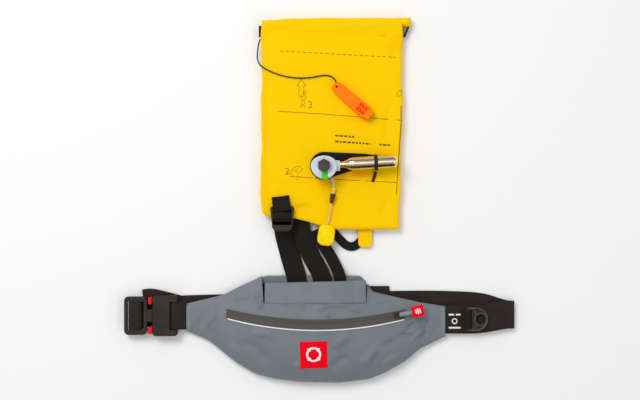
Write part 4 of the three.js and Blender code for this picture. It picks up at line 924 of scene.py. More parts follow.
def print_line(name, x, y, level, width, paint, body, thickness=0.00016):
    """A printed line: a flat band of film along a path, laid on a surface given by its height."""
    x, y = np.asarray(x, float), np.asarray(y, float)
    route = np.stack([x, y, level(x, y) + thickness], axis=-1)
    line = sweep(name, route, flat_profile(width, thickness, 3))
    return finish_piece(line, body, paint, "reflective_white" if body == "pouch" else "cord_black")


film_white = cloth_material("white_film", (0.86, 0.86, 0.86), 0.4, thread=0.0004, depth=0.00003,
                            sheen=0.0, spread=0.04)


def badge_top(x, y):
    """The level of the badge's outer face."""
    return pouch_skin(x, y) + 0.0008


ring_turn = np.linspace(0, 2 * math.pi, 60)
BADGE_RING_RADIUS = 0.0092
RING_RAISE = 0.0008          # how far up the badge the ring's middle lies from the badge's own
ring_x, ring_y = turned(BADGE, BADGE_TURN, BADGE_RING_RADIUS * np.cos(ring_turn),
                        RING_RAISE + BADGE_RING_RADIUS * np.sin(ring_turn))
print_line("badge_ring", ring_x, ring_y, badge_top, 0.0030, film_white, "pouch")
for index, angle in enumerate((45, 135, 225, 315)):
    reach = np.linspace(0.0066, 0.0120, 8)
    spoke_x, spoke_y = turned(BADGE, BADGE_TURN + math.radians(angle), reach, 0 * reach)
    print_line(f"badge_band_{index}", spoke_x, spoke_y + RING_RAISE, badge_top, 0.0022, film_white,
               "pouch")

slider_black = plastic_material("slider_enamel", (0.02, 0.02, 0.021), 0.3, coat=0.4)
puller_grey = plastic_material("puller_cord", (0.2, 0.235, 0.27), 0.6)
softened_copy("zip_slider_body", "zip_slider", 0.0008, slider_black, "slider_metal")
softened_copy("zip_puller_cord", "zip_puller", 0.0011, puller_grey, "puller_grey")
softened_copy("zip_puller_tag", "zip_tag", 0.0007, badge_paint, "badge_red")

tag_low, tag_high = (Vector(c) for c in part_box("zip_tag"))
tag_middle = (tag_low + tag_high) / 2
bar_reach = np.linspace(-0.0042, 0.0042, 6)
for index, aside in enumerate((-0.0030, 0.0, 0.0030)):
    bar_x, bar_y = turned((tag_middle.x, tag_middle.y), math.radians(12), 0 * bar_reach + aside,
                          bar_reach * (1 - 0.25 * abs(index - 1)))
    bar_route = np.stack([bar_x, bar_y, np.full(6, tag_high.z - 0.0016)], axis=-1)
    bar = sweep(f"tag_mark_{index}", bar_route, flat_profile(0.0020, 0.0004, 3))
    finish_piece(bar, "zip_pull", film_white, "reflective_white")


def thread_material(name, colour):
    """Sewing thread, with a fine twist across it."""
    paint, tree, shader = start_material(name, colour, 0.6, sheen_weight=0.2)
    place = wire(tree, "ShaderNodeTexCoord")
    twist = wire(tree, "ShaderNodeTexWave", {"Vector": place.outputs["Object"], "Scale": 900.0})
    bump_into(tree, shader, twist.outputs[1], 0.0001)
    return paint


seam_thread = thread_material("grey_thread", (0.62, 0.6, 0.6))
STITCH_HALF = 0.00035
STITCH_PITCH = 0.0030
STITCH_LENGTH = 0.0021


def stitch_path(name, x, y, level, body, paint):
    """Stitches along a curve on a surface: the curve is walked at even steps and each step gets a
    small lens of thread laid along it, of six places round and five along."""
    run = way_gone(np.stack([x, y], axis=-1))
    count = max(2, int(run[-1] / STITCH_PITCH))
    middle = (np.arange(count) + 0.5) * run[-1] / count
    along = np.linspace(-1, 1, 5)
    where = middle[:, None] + along * STITCH_LENGTH / 2
    centre_x, centre_y = np.interp(where, run, x), np.interp(where, run, y)
    way = np.stack([centre_x[:, -1] - centre_x[:, 0], centre_y[:, -1] - centre_y[:, 0]], axis=-1)
    way /= np.maximum(np.linalg.norm(way, axis=1, keepdims=True), 1e-9)
    swell = STITCH_HALF * np.sqrt(1 - 0.92 * along**2)
    turn = np.linspace(0, 2 * math.pi, 7)[:-1]
    out = swell[None, :, None] * np.cos(turn)
    rise = swell[None, :, None] * np.sin(turn)
    place_x = centre_x[..., None] - way[:, 1, None, None] * out
    place_y = centre_y[..., None] + way[:, 0, None, None] * out
    base = level(centre_x, centre_y) + STITCH_HALF * 0.4
    places = np.stack([place_x, place_y, base[..., None] + rise], axis=-1).reshape(-1, 3)
    ring, step = np.meshgrid(np.arange(4), np.arange(6), indexing="ij")
    after = (step + 1) % 6
    quads = np.stack([ring * 6 + step, (ring + 1) * 6 + step, (ring + 1) * 6 + after,
                      ring * 6 + after], axis=-1).reshape(-1, 4)
    caps = np.array([[0, 1, 2, 3], [0, 3, 4, 5], [27, 26, 25, 24], [29, 28, 27, 24]])
    one = np.vstack([quads, caps])
    faces = (one[None] + 30 * np.arange(count)[:, None, None]).reshape(-1, 4)
    return finish_piece(new_object(name, places, faces), body, paint, "cord_black")


for name, x in (("left_end_stitches", -0.1885), ("right_end_stitches", 0.1765)):
    low_y, high_y = edge_line(BOTTOM_EDGE, np.array(x)), edge_line(TOP_EDGE, np.array(x))
    rows_y = np.linspace(low_y + 0.003, high_y - 0.003, 40)
    stitch_path(name, np.full(40, x), rows_y, pouch_skin, "pouch", seam_thread)

# ---------------------------------------------------------------- bladder
# Two welded lobes of yellow coated nylon, slack until the gas fills them, their top folded over
# into a roll. Lines, arrows and numbers are printed on the front in dark ink.


def paint_amber_shade(paint):
    """Painted shade: the yellow is mixed toward amber by the cloth's own attribute, which is 0 where no
    shade is painted."""
    tree = paint.node_tree
    shader = tree.nodes["Principled BSDF"]
    plain = shader.inputs["Base Color"].links[0].from_socket
    painted_shade = wire(tree, "ShaderNodeAttribute", attribute_name="painted_shade")
    amber = wire(tree, "ShaderNodeMix", {0: painted_shade.outputs["Fac"], 6: plain, 7: (1.0, 0.30, 0.0, 1.0)},
                 data_type="RGBA")
    tree.links.new(amber.outputs[2], shader.inputs["Base Color"])


def store_painted_shade(thing, values):
    """Stores the share of painted amber shade at each place of a piece."""
    layer = thing.data.attributes.new("painted_shade", "FLOAT", "POINT")
    layer.data.foreach_set("value", np.asarray(values, np.float32))


PAINTED_SHADE_PATCHES = [
    # painted shade patches, x, y, half-length, half-height, share: under and over the cartridge, by the
    # cord and the straps
    (0.052, 0.0365, 0.034, 0.0060, 0.60), (0.096, 0.0625, 0.018, 0.0045, 0.45),
    (0.012, 0.0240, 0.014, 0.0060, 0.30), (-0.034, 0.0270, 0.030, 0.0030, 0.20),
    (0.112, 0.2240, 0.008, 0.0200, 0.22), (0.060, 0.1160, 0.016, 0.0050, 0.25),
    (-0.026, -0.0100, 0.016, 0.0040, 0.35), (0.018, -0.0180, 0.012, 0.0200, 0.16),
    (-0.080, 0.1000, 0.003, 0.1200, 0.18), (0.060, -0.0405, 0.060, 0.0030, 0.25),
]


def painted_shade_share(x, y):
    """The painted shade: the sum of soft oval patches, each a bell curve in both ways."""
    return sum(share * np.exp(-(((x - px) / rx) ** 2) - ((y - py) / ry) ** 2)
               for px, py, rx, ry, share in PAINTED_SHADE_PATCHES)


bladder_yellow = cloth_material("bladder_coated_nylon", (0.97, 0.60, 0.0008), 0.5, thread=0.0007,
                                depth=0.00006, sheen=0.0, spread=0.04, coat=0.0, gloss=0.03)
paint_amber_shade(bladder_yellow)
BLADDER_LEFT, BLADDER_RIGHT, BLADDER_TOP = -0.084, 0.122, 0.2506
front_low, front_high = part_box("bladder_front_lobe")
lobe_back_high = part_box("bladder_back_lobe")[1]
OVER_TABLE = 0.0001
LOBE_FOLDS = [
    # under and beside the inflator, then by the corners and the edges
    (-0.052, 0.036, -0.006, 0.028, 0.0050, -0.0012), (0.020, 0.022, 0.070, 0.030, 0.0060, -0.0014),
    (0.030, 0.076, 0.092, 0.074, 0.0060, -0.0008), (-0.040, 0.030, 0.012, 0.014, 0.0080, 0.0009),
    (-0.036, -0.014, -0.006, -0.010, 0.0030, -0.0012), (0.012, -0.002, 0.024, 0.034, 0.0060, -0.0010),
    (0.088, 0.244, 0.112, 0.198, 0.0060, -0.0014), (0.096, 0.240, 0.120, 0.212, 0.0050, 0.0010),
    (-0.082, 0.236, -0.040, 0.244, 0.0050, -0.0010), (0.100, -0.030, 0.112, 0.010, 0.0060, -0.0008),
    (-0.078, 0.050, -0.074, 0.130, 0.0060, 0.0008), (0.060, 0.246, 0.110, 0.240, 0.0060, -0.0012),
    (-0.070, -0.006, -0.060, 0.040, 0.0070, -0.0008), (0.108, 0.060, 0.112, 0.150, 0.0060, -0.0008),
]


def lobe_lower_edge(x):
    """The front lobe's lower edge: a rounded left corner, then a long fall to the right."""
    stations = np.array([(-84, -12), (-82.5, -18), (-78, -22.5), (-70, -24), (-50, -24.5), (-36, -26),
                         (-14, -31), (10, -38.5), (24, -42), (60, -42.6), (122, -41.8)]) / 1000
    return np.interp(x, stations[:, 0], stations[:, 1])


def lobe_top_level(x, y):
    """The front lobe's face: its flat level, dented by soft creases that stop at whatever lies on
    it, and a slow unevenness. Nothing rises over the flat level by more than half a millimetre."""
    under_inflator = np.clip(np.hypot((x - 0.04) / 0.075, (y - 0.05) / 0.024) - 1, 0, 1)
    wave = 0.0008 * (slow_waves(x, y, seed=21, size=0.09) - 0.5)
    dents = np.minimum(1.5 * fold_field(LOBE_FOLDS, x, y) + wave, 0.0003)
    return front_high[2] + dents * (0.35 + 0.65 * under_inflator)


def draw_in(thing, reach):
    """Slants a lobe's right edge in toward its foot, as it was cut."""
    places = places_of(thing)
    way = np.clip((places[:, 0] - BLADDER_LEFT) / (BLADDER_RIGHT - BLADDER_LEFT), 0, 1)
    fall = np.clip((0.13 - places[:, 1]) / 0.17, 0, 1)
    wobble = 0.0007 * np.sin(places[:, 1] * 60) + 0.0005 * np.sin(places[:, 1] * 141)
    places[:, 0] += way * (-0.0042 - reach * fall) + (2 * way - 1) * wobble - (1 - way) * 0.0012 * fall
    thing.data.vertices.foreach_set("co", places.ravel())


LOBE_COLUMNS = 190
lobe_way = np.sin(np.linspace(-0.5, 0.5, LOBE_COLUMNS) * math.pi) / 2 + 0.5
lobe_x = BLADDER_LEFT + (BLADDER_RIGHT - BLADDER_LEFT) * lobe_way
top_edge = np.full(LOBE_COLUMNS, BLADDER_TOP + 0.003)
front_lobe = slab_piece("bladder_front_cloth", lobe_x, lobe_lower_edge(lobe_x), top_edge,
                        level_at(front_low[2]), lobe_top_level, 0.0050, 240)
front_x, front_y = places_of(front_lobe)[:, :2].T
# Painted amber shade on the front lobe, in patches under and beside what lies on it.
store_painted_shade(front_lobe, np.clip(painted_shade_share(front_x, front_y), 0, 1))
draw_in(front_lobe, 0.0045)
finish_piece(front_lobe, "bladder", bladder_yellow, "yellow_cloth", "bladder_front_lobe")

back_edge = np.maximum(lobe_lower_edge(lobe_x), -0.030) + 0.010
back_edge = np.where(lobe_x > 0.01, back_edge + 0.004, back_edge)
back_lobe = slab_piece("bladder_back_cloth", lobe_x, back_edge, top_edge,
                       level_at(OVER_TABLE), level_at(lobe_back_high[2]), 0.0045, 90)
# Painted amber shade on the back lobe: a little everywhere, and more toward its lower edge.
store_painted_shade(back_lobe, 0.08 + 0.55 * np.clip((-0.012 - places_of(back_lobe)[:, 1]) / 0.008, 0, 1))
draw_in(back_lobe, 0.0045)
finish_piece(back_lobe, "bladder", bladder_yellow, "yellow_cloth", "bladder_back_lobe")

ROLL_LEVEL = 0.0163
roll_low, roll_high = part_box("bladder_top_roll")
roll_x = np.linspace(roll_low[0], roll_high[0] + 0.0005, 150)
roll_bottom = roll_low[1] - 0.0022 + 0.0006 * np.sin(roll_x * 70)
roll_top = roll_high[1] - 0.0012 - 0.0035 * np.clip((0.0 - roll_x) / 0.084, 0, 1) ** 1.5
roll_top = roll_top + 0.0003 * np.sin(roll_x * 110)
roll = slab_piece("bladder_top_fold", roll_x, roll_bottom, roll_top, level_at(OVER_TABLE),
                  lambda x, y: ROLL_LEVEL + 0.0004 * slow_waves(x, y, seed=5, size=0.03), 0.0058, 40)
finish_piece(roll, "bladder", bladder_yellow, "yellow_cloth", "bladder_top_roll")

# The front cloth runs up over the roll without a step.
cover_x = np.linspace(BLADDER_LEFT + 0.0006, BLADDER_RIGHT - 0.0046, 150)
cover_share = np.linspace(0, 1, 26)[:, None]
cover_y = 0.2360 + 0.0205 * cover_share + 0 * cover_x
cover_grid_x = np.broadcast_to(cover_x, cover_y.shape)
cover_ease = ease(cover_share / 0.8)
cover_level = lobe_top_level(cover_grid_x, cover_y) * (1 - cover_ease) + (ROLL_LEVEL + 0.0003) * cover_ease
cover_level = cover_level + 0.00012 - 0.0012 * np.maximum(0, cover_share - 0.86)
cover = grid_piece("bladder_fold_cover", np.stack([cover_grid_x, cover_y, cover_level], axis=-1))
finish_piece(cover, "bladder", bladder_yellow, "yellow_cloth")

ink_brown = cloth_material("print_ink", (0.23, 0.085, 0.004), 0.55, thread=0.0005, depth=0.00003,
                           sheen=0.0, spread=0.3)


def ink_line(name, points, width=0.0009):
    """A printed ink line on the front lobe through points given in metres."""
    points = np.asarray(points, float)
    run = way_gone(points)
    steps = max(4, int(run[-1] / 0.003))
    where = np.unique(np.concatenate([np.linspace(0, run[-1], steps), run]))
    x, y = np.interp(where, run, points[:, 0]), np.interp(where, run, points[:, 1])
    return print_line(name, x, y, lobe_top_level, width, ink_brown, "bladder", thickness=0.0001)


DASHES = 21
dash_start, dash_end = np.array([-0.0573, 0.2136]), np.array([0.1137, 0.2042])
for index in range(DASHES):
    first = dash_start + (dash_end - dash_start) * index / DASHES
    last = first + (dash_end - dash_start) / DASHES * 0.6
    ink_line(f"print_dash_{index}", [first, last])
ink_line("print_upper_line", [(-0.0607, 0.1272), (0.0, 0.1235), (0.117, 0.1142)], 0.0008)
ink_line("print_lower_line", [(-0.0438, 0.0340), (0.02, 0.0296), (0.1100, 0.0252)], 0.0008)
ink_line("print_side_line", [(0.1160, 0.135), (0.1165, 0.114), (0.1110, 0.034), (0.1088, -0.0064)], 0.0010)

arrow = [(-0.0300, 0.1480), (-0.0300, 0.1640), (-0.0332, 0.1640), (-0.0266, 0.1730),
         (-0.0200, 0.1640), (-0.0232, 0.1640), (-0.0232, 0.1480), (-0.0300, 0.1480)]
ink_line("print_arrow", arrow, 0.0006)
turn = np.linspace(0, 2 * math.pi, 16)
for name, x, y, radius in (("head", -0.0222, 0.1540, 0.0022), ("body", -0.0236, 0.1475, 0.0034),
                           ("hip", -0.0245, 0.1400, 0.0026)):
    ink_line(f"print_figure_{name}", np.stack([x + radius * np.cos(turn),
                                                y + radius * 1.2 * np.sin(turn)], axis=-1), 0.0005)
ink_line("print_figure_leg", [(-0.0262, 0.1372), (-0.0286, 0.1336), (-0.0246, 0.1344),
                              (-0.0210, 0.1330), (-0.0226, 0.1370)], 0.0005)


def digit(name, strokes, x, y, height):
    """A number drawn with strokes on a box one high, its lower left corner at x, y."""
    for index, stroke in enumerate(strokes):
        places = [(x + 0.62 * height * px, y + height * py) for px, py in stroke]
        ink_line(f"{name}_{index}", places)


THREE = [[(0.05, 0.95), (0.55, 1.0), (0.85, 0.8), (0.7, 0.58), (0.35, 0.54)],
         [(0.35, 0.54), (0.8, 0.45), (0.92, 0.2), (0.6, 0.0), (0.05, 0.06)]]
TWO = [[(0.05, 0.8), (0.3, 1.0), (0.7, 0.98), (0.88, 0.74), (0.7, 0.46), (0.05, 0.0), (0.92, 0.0)]]
digit("print_three", THREE, -0.0168, 0.1325, 0.0088)
digit("print_stop", [[(0.0, 0.0), (0.12, 0.0)]], -0.0092, 0.1328, 0.0088)
digit("print_two", TWO, -0.0496, 0.0372, 0.0082)
hand = [(-0.0435, 0.0385), (-0.0400, 0.0440), (-0.0350, 0.0478), (-0.0290, 0.0480), (-0.0245, 0.0440),
        (-0.0290, 0.0400), (-0.0330, 0.0375), (-0.0302, 0.0318), (-0.0330, 0.0290), (-0.0366, 0.0305),
        (-0.0380, 0.0350), (-0.0420, 0.0365), (-0.0435, 0.0385)]
ink_line("print_hand", hand, 0.0005)
ink_line("print_finger_upper", [(-0.0388, 0.0432), (-0.0350, 0.0420), (-0.0310, 0.0446)], 0.0005)
ink_line("print_finger_lower", [(-0.0372, 0.0392), (-0.0340, 0.0395), (-0.0320, 0.0418)], 0.0005)
ink_line("print_edge_mark", [(0.1100, 0.1500), (0.1120, 0.1560), (0.1165, 0.1580), (0.1170, 0.1510),
                             (0.1130, 0.1485), (0.1100, 0.1500)], 0.0005)

# Two printed rows give no words, only blocks of unlike length.
ROW_SLOPE = 0.07
SHORTEST_BLOCK = 0.002
BLOCK_GAP = 0.0016
chance = np.random.default_rng(7)
for row, (start, end, y) in enumerate(((0.0215, 0.0500, 0.0925), (0.0215, 0.1060, 0.0840))):
    x = start
    index = 0
    while x < end - SHORTEST_BLOCK:
        block = min(chance.uniform(0.0022, 0.0058), end - x)
        here = y - ROW_SLOPE * (x - start)
        ink_line(f"print_row_{row}_{index}", [(x, here), (x + block, here - ROW_SLOPE * block)], 0.0025)
        x += block + BLOCK_GAP
        index += 1

loop_black = webbing_material("loop_black_weave", (0.02, 0.016, 0.015), rib=0.0012)


def slanted_loop(places):
    """The right corner loop hangs inward from the roll."""
    places[:, 0] -= 0.40 * (BLADDER_TOP - places[:, 1]) - 0.002
    return places


softened_copy("corner_loop_left_band", "corner_loop_left", 0.0005, loop_black, "black_webbing")
softened_copy("corner_loop_right_band", "corner_loop_right", 0.0005, loop_black, "black_webbing", 3,
              slanted_loop)
softened_copy("bladder_pull_tab", "bladder_tab", 0.0009, bladder_yellow, "yellow_cloth")
tube_yellow = plastic_material("oral_tube_rubber", (0.95, 0.58, 0.003), 0.5, gloss=0.06)
softened_copy("oral_tube_hose", "oral_tube", 0.0004, tube_yellow, "yellow_plastic")
softened_copy("oral_cap_moulding", "oral_tube_cap", 0.0006, buckle_black, "black_plastic")

# ---------------------------------------------------------------- inflator
# A moulded grey valve body on a black pad, with a hexagonal cap nut, a green armed indicator and a
# firing lever. A brass-coloured gas cartridge screws into it and a rubber band holds it down.

INFLATOR = (0.0057, 0.049)
inflator_grey = plastic_material("inflator_moulding", (0.56, 0.60, 0.645), 0.36, coat=0.15)
nut_black = plastic_material("cap_nut_moulding", (0.050, 0.040, 0.041), 0.38, coat=0.1)
indicator_green = plastic_material("indicator_green", (0.010, 0.56, 0.012), 0.3, coat=0.4)
pad_black = webbing_material("pad_weave", (0.012, 0.010, 0.010), rib=0.0022)


def pad_under_cartridge(places):
    """The pad's lower edge is drawn up under the cartridge, past the housing."""
    axis_y = INFLATOR[1] + 0.059 * (places[:, 0] - INFLATOR[0])
    past = np.clip((places[:, 0] - 0.012) / 0.014, 0, 1)
    places[:, 1] += np.where(places[:, 1] < axis_y, 0.0075 * past, -0.0022 * past)
    return places


softened_copy("inflator_pad_foam", "inflator_pad", 0.0010, pad_black, "pad_black", 3,
              pad_under_cartridge)


def low_set_housing(places):
    """The valve's nut sits high on the housing, so the housing's upper edge is drawn in to it."""
    places[:, 1] -= 0.26 * np.maximum(0, places[:, 1] - INFLATOR[1])
    return places


softened_copy("inflator_housing", "inflator_body", 0.0013, inflator_grey, "inflator_grey", 4,
              low_set_housing)
softened_copy("valve_stem_metal", "valve_stem", 0.0004, slider_black, "steel")


def hidden_washer(places):
    """The washer is no wider than the flats of the nut on it."""
    for axis, middle in enumerate(INFLATOR):
        places[:, axis] = middle + 0.80 * (places[:, axis] - middle)
    return places


softened_copy("valve_washer_metal", "valve_washer", 0.0003, slider_black, "steel", 2, hidden_washer)
softened_copy("cap_nut_head", "cap_nut", 0.0009, nut_black, "nut_black", 4)
softened_copy("armed_window", "armed_indicator", 0.0018, indicator_green, "indicator_green", 4)
softened_copy("firing_lever_moulding", "firing_lever", 0.0008, inflator_grey, "inflator_grey")


def metal_material(name, colour, roughness, tarnish=0.0):
    """Drawn or plated metal, with a very fine grain and faint fingermarks that dull it."""
    paint, tree, shader = start_material(name, colour, roughness, 1.0)
    dulled = tuple(c * (0.86 - tarnish) for c in colour)
    handled_skin(tree, shader, colour, dulled, roughness, roughness + 0.12, 0.00001)
    return paint


brass = metal_material("cartridge_gold_plate", (0.97, 0.80, 0.52), 0.14, 0.08)
steel = metal_material("bright_steel", (0.62, 0.62, 0.63), 0.25)
softened_copy("lever_pin_steel", "lever_pin", 0.0002, steel, "steel")
softened_copy("firing_pin_steel", "firing_pin", 0.0002, steel, "steel")
softened_copy("pin_spring_steel", "pin_spring", 0.0001, steel, "steel")

INFLATOR_TURN = math.radians(3.4)
cartridge_low, cartridge_high = (Vector(c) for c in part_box("gas_cartridge"))
AXIS_LEVEL = (cartridge_low.z + cartridge_high.z) / 2
CARTRIDGE_RADIUS = 0.0092
CARTRIDGE_START = 0.0178
CARTRIDGE_END = 0.1048
LATHE_SIDES = 72


def lathe(name, profile):
    """A turned piece: a profile of (way along, radius) pairs from one end of the axis to the other,
    carried round the inflator's own level axis."""
    profile = np.asarray(profile, float)
    turn = np.linspace(0, 2 * math.pi, LATHE_SIDES, endpoint=False)
    along = np.broadcast_to(profile[:, :1], (len(profile), LATHE_SIDES))
    aside = profile[:, 1:] * np.cos(turn)
    level = AXIS_LEVEL + profile[:, 1:] * np.sin(turn)
    x, y = turned(INFLATOR, INFLATOR_TURN, along, aside)
    places = np.stack([x, y, level], axis=-1).reshape(-1, 3)
    way = np.stack([along, np.broadcast_to(turn * CARTRIDGE_RADIUS, along.shape)], axis=-1)
    return new_object(name, places, tube_faces(len(profile), LATHE_SIDES), way.reshape(-1, 2))


dome_turn = np.linspace(0, 0.98, 12) * math.pi / 2
dome = [(CARTRIDGE_END - 0.0062 + 0.0062 * math.sin(t), CARTRIDGE_RADIUS * math.cos(t) ** 0.8)
        for t in dome_turn]
cartridge_profile = [
    (CARTRIDGE_START + 0.0064, 0.0004), (CARTRIDGE_START + 0.0065, 0.0021),
    (CARTRIDGE_START + 0.0001, 0.0022), (CARTRIDGE_START, 0.0028), (CARTRIDGE_START, 0.0040),
    (CARTRIDGE_START + 0.0003, 0.0043), (CARTRIDGE_START + 0.0080, 0.0043),
    (CARTRIDGE_START + 0.0100, 0.0044), (CARTRIDGE_START + 0.0120, 0.0050),
    (CARTRIDGE_START + 0.0150, 0.0064), (CARTRIDGE_START + 0.0180, 0.0078),
    (CARTRIDGE_START + 0.0205, 0.0087), (CARTRIDGE_START + 0.0235, 0.0091),
    (CARTRIDGE_START + 0.0265, CARTRIDGE_RADIUS), (CARTRIDGE_START + 0.05, CARTRIDGE_RADIUS),
    (CARTRIDGE_END - 0.0075, CARTRIDGE_RADIUS),
] + dome
cartridge = lathe("gas_cartridge_shell", cartridge_profile)
finish_piece(cartridge, "gas_cartridge", brass, "cartridge_brass", "gas_cartridge")

rubber_black = plastic_material("band_rubber", (0.014, 0.012, 0.012), 0.55)
softened_copy("cartridge_band_loop", "cartridge_band", 0.0007, rubber_black, "pad_black")
band_tail = smooth_route([(0.0797, 0.0405, 0.0186), (0.0788, 0.0368, 0.0172), (0.0772, 0.0315, 0.0163),
                          (0.0752, 0.0262, 0.0160)], 14)
tail_piece = sweep("cartridge_band_tail", band_tail, flat_profile(0.0042, 0.0013), across=(1.0, -0.2, 0.0))
finish_piece(tail_piece, "bladder", rubber_black, "pad_black")

# ---------------------------------------------------------------- whistle and pull handle
# The whistle is one orange moulding. The pull cord runs in a white sleeve through a bead, then
# thin through a brown toggle to a thick soft handle in yellow rubber.

whistle_orange = plastic_material("whistle_moulding", (1.0, 0.185, 0.001), 0.36, gloss=0.08)
EYE = (0.024, 0.1615)
WHISTLE_TURN = math.radians(-41)
whistle_low, whistle_high = (Vector(c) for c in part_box("whistle"))


def extrusion(name, x, y, low, high):
    """A flat piece: a closed outline, anticlockwise, carried from one level up to another."""
    count = len(x)
    places = np.concatenate([np.stack([x, y, np.full(count, low)], axis=-1),
                             np.stack([x, y, np.full(count, high)], axis=-1)])
    here = np.arange(count)
    after = (here + 1) % count
    walls = np.stack([here, after, after + count, here + count], axis=-1)
    return new_object(name, places, [here[::-1], here + count, *walls], places[:, :2], False)


whistle_side = [(-5.0, 4.5), (-3.2, 6.8), (3.0, 8.0), (28.0, 8.9), (50.0, 9.4), (56.5, 9.4),
                (57.6, 7.6), (64.4, 7.0)]
whistle_outline = np.array([(x, -y) for x, y in whistle_side] + whistle_side[::-1]) / 1000
body_x, body_y = turned(EYE, WHISTLE_TURN, *whistle_outline.T)
whistle_body = extrusion("whistle_body", body_x, body_y, whistle_low.z, whistle_high.z)
hole_turn = np.linspace(0, 2 * math.pi, 25)[:-1]
hole_x, hole_y = turned(EYE, 0.0, 0.0017 * np.cos(hole_turn), 0.0017 * np.sin(hole_turn))
hole = extrusion("whistle_eye_cutter", hole_x, hole_y, whistle_low.z - 0.001, whistle_high.z + 0.001)
cut = whistle_body.modifiers.new("eye", "BOOLEAN")
cut.object = hole
cut.operation = "DIFFERENCE"
cut.solver = "EXACT"
with bpy.context.temp_override(active_object=whistle_body, object=whistle_body):
    bpy.ops.object.modifier_apply(modifier="eye")
bpy.data.objects.remove(hole)
soften(whistle_body, 0.0012, 4)
finish_piece(whistle_body, "whistle", whistle_orange, "whistle_orange", "whistle")
handle_yellow = plastic_material("handle_rubber", (0.97, 0.62, 0.001), 0.5, gloss=0.06)
handle = softened_copy("pull_handle_rubber", "pull_handle", 0.0024, handle_yellow, "yellow_plastic", 5)
bead = softened_copy("cord_bead_moulding", "cord_bead", 0.0006, handle_yellow, "toggle_brown")
toggle_brown = plastic_material("toggle_moulding", (0.075, 0.032, 0.015), 0.45)
toggle = softened_copy("cord_toggle_moulding", "cord_toggle", 0.0006, toggle_brown, "toggle_brown")
cord_sleeve_paint = cord_material("sleeve_white", (0.86, 0.84, 0.80))
sleeve_end = int(np.argmin(np.abs(pull_route[:, 1] - 0.0065)))
sleeve = sweep("pull_cord_sleeve", pull_route[1:sleeve_end], round_profile(0.0017, 14))
finish_piece(sleeve, "pull_cord", cord_sleeve_paint, "cord_white")

# A sunk window near the whistle's mouth is crossed by one long and three short bars. It is drawn as a
# darker orange plate: painted shade for the recess.
whistle_recess_shade = plastic_material("whistle_shade", (0.80, 0.040, 0.001), 0.5, gloss=0.05)
window_x, window_y = turned(EYE, WHISTLE_TURN, np.array([0.0405, 0.0545, 0.0545, 0.0405]),
                            np.array([-0.0062, -0.0062, 0.0062, 0.0062]))
window = extrusion("whistle_window", window_x, window_y, whistle_high.z - 0.0010, whistle_high.z + 0.0001)
finish_piece(window, "whistle", whistle_recess_shade, "whistle_orange")


def whistle_bar(name, along, aside, width):
    """A bar across the window, by how far along the whistle and aside from its middle it runs."""
    bar_x, bar_y = turned(EYE, WHISTLE_TURN, along, aside)
    route = np.stack([bar_x, bar_y, np.full(len(bar_x), whistle_high.z)], axis=-1)
    bar = sweep(name, route, flat_profile(width, 0.0009, 4))
    finish_piece(bar, "whistle", whistle_orange, "whistle_orange")


for index, along in enumerate((0.0405, 0.0452, 0.0499, 0.0545)):
    whistle_bar(f"whistle_bar_{index}", np.full(6, along), np.linspace(-0.0064, 0.0064, 6), 0.0011)
whistle_bar("whistle_bar_long", np.linspace(0.0405, 0.0545, 8), np.zeros(8), 0.0012)

# ---------------------------------------------------------------- straps
# Three black webbing straps join the bladder to the pouch's inside. The left one is adjusted by a
# ladder lock on a short stub; a fourth short strap makes a loop under the bladder's lower edge.

STRAP_THICKNESS = 0.0014
strap_black = webbing_material("strap_weave", (0.012, 0.0085, 0.0068), rib=0.0013)


def strap_piece(name, stations, width, across):
    """A strap of webbing through stations given in millimetres."""
    route = smooth_route(np.array(stations) / 1000, 120)
    return sweep(name, route, flat_profile(width, STRAP_THICKNESS), across=across)


# Each strap crosses the pouch's mouth: name, CAD nodes, width, way across, middle x and level at the
# mouth, in metres, and then its stations, in millimetres.
CROSSING_STRAPS = (
    ("strap_left_band", ("strap_left",), 0.0285, (1.0, 0.22, 0.0), -0.034, 0.0078, (
        (-53.0, -28.5, 8.0), (-52.6, -36, 7.0), (-51.0, -48, 3.2), (-47.2, -64, 1.1), (-43.0, -80, 1.1),
        (-38.5, -95, 3.8), (-35.2, -106, 7.0), (-33.5, -113, 7.9), (-33.2, -122, 7.9), (-33.0, -146, 7.9))),
    ("strap_middle_band", ("strap_middle", "strap_anchor"), 0.0265, (1.0, 0.34, 0.12), 0.002, 0.0095, (
        (-26.5, -14, 3.0), (-27.0, -30, 4.0), (-26.5, -44, 5.6), (-21.5, -60, 6.2), (-14.0, -78, 6.0),
        (-5.5, -94, 7.0), (0.5, -105, 9.6), (2.6, -113, 10.2), (2.8, -122, 9.6), (2.8, -146, 9.4))),
    ("strap_right_band", ("strap_right",), 0.0175, (1.0, 0.75, -0.25), 0.028, 0.012, (
        (-7.5, -43, 8.8), (-1.0, -55, 9.2), (8.5, -70, 9.0), (17.0, -84, 9.4), (23.5, -97, 11.4),
        (27.3, -106, 12.6), (28.5, -113, 12.6), (28.8, -122, 11.8), (28.8, -146, 11.4))),
)
for name, nodes, width, across, x, level, stations in CROSSING_STRAPS:
    strap = strap_piece(name, stations, width, across)
    strap.data.materials.append(strap_black)
    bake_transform(strap)
    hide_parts(*nodes)

loop_strap = strap_piece("strap_loop_band", [
    (17, -43.5, 3.6), (23, -50.5, 3.2), (30, -58, 2.6), (37, -64.4, 2.0), (45, -67.2, 1.8),
    (53, -64.6, 2.0), (60, -57.0, 2.4), (67, -48, 3.0), (71.5, -42, 3.6),
], 0.0125, None)
finish_piece(loop_strap, "bladder", strap_black, "black_webbing", "strap_loop")

ladder_black = plastic_material("ladder_lock_moulding", (0.021, 0.014, 0.0125), 0.34)
LADDER_X = -0.054


def pointed_foot(places):
    """The ladder lock's lower bar narrows to a blunt point, by which it is lifted."""
    foot = np.clip((-0.0370 - places[:, 1]) / 0.0066, 0, 1)
    places[:, 0] = LADDER_X + (places[:, 0] - LADDER_X) * (1 - 0.42 * foot)
    places[:, 1] -= 0.0016 * foot
    return places


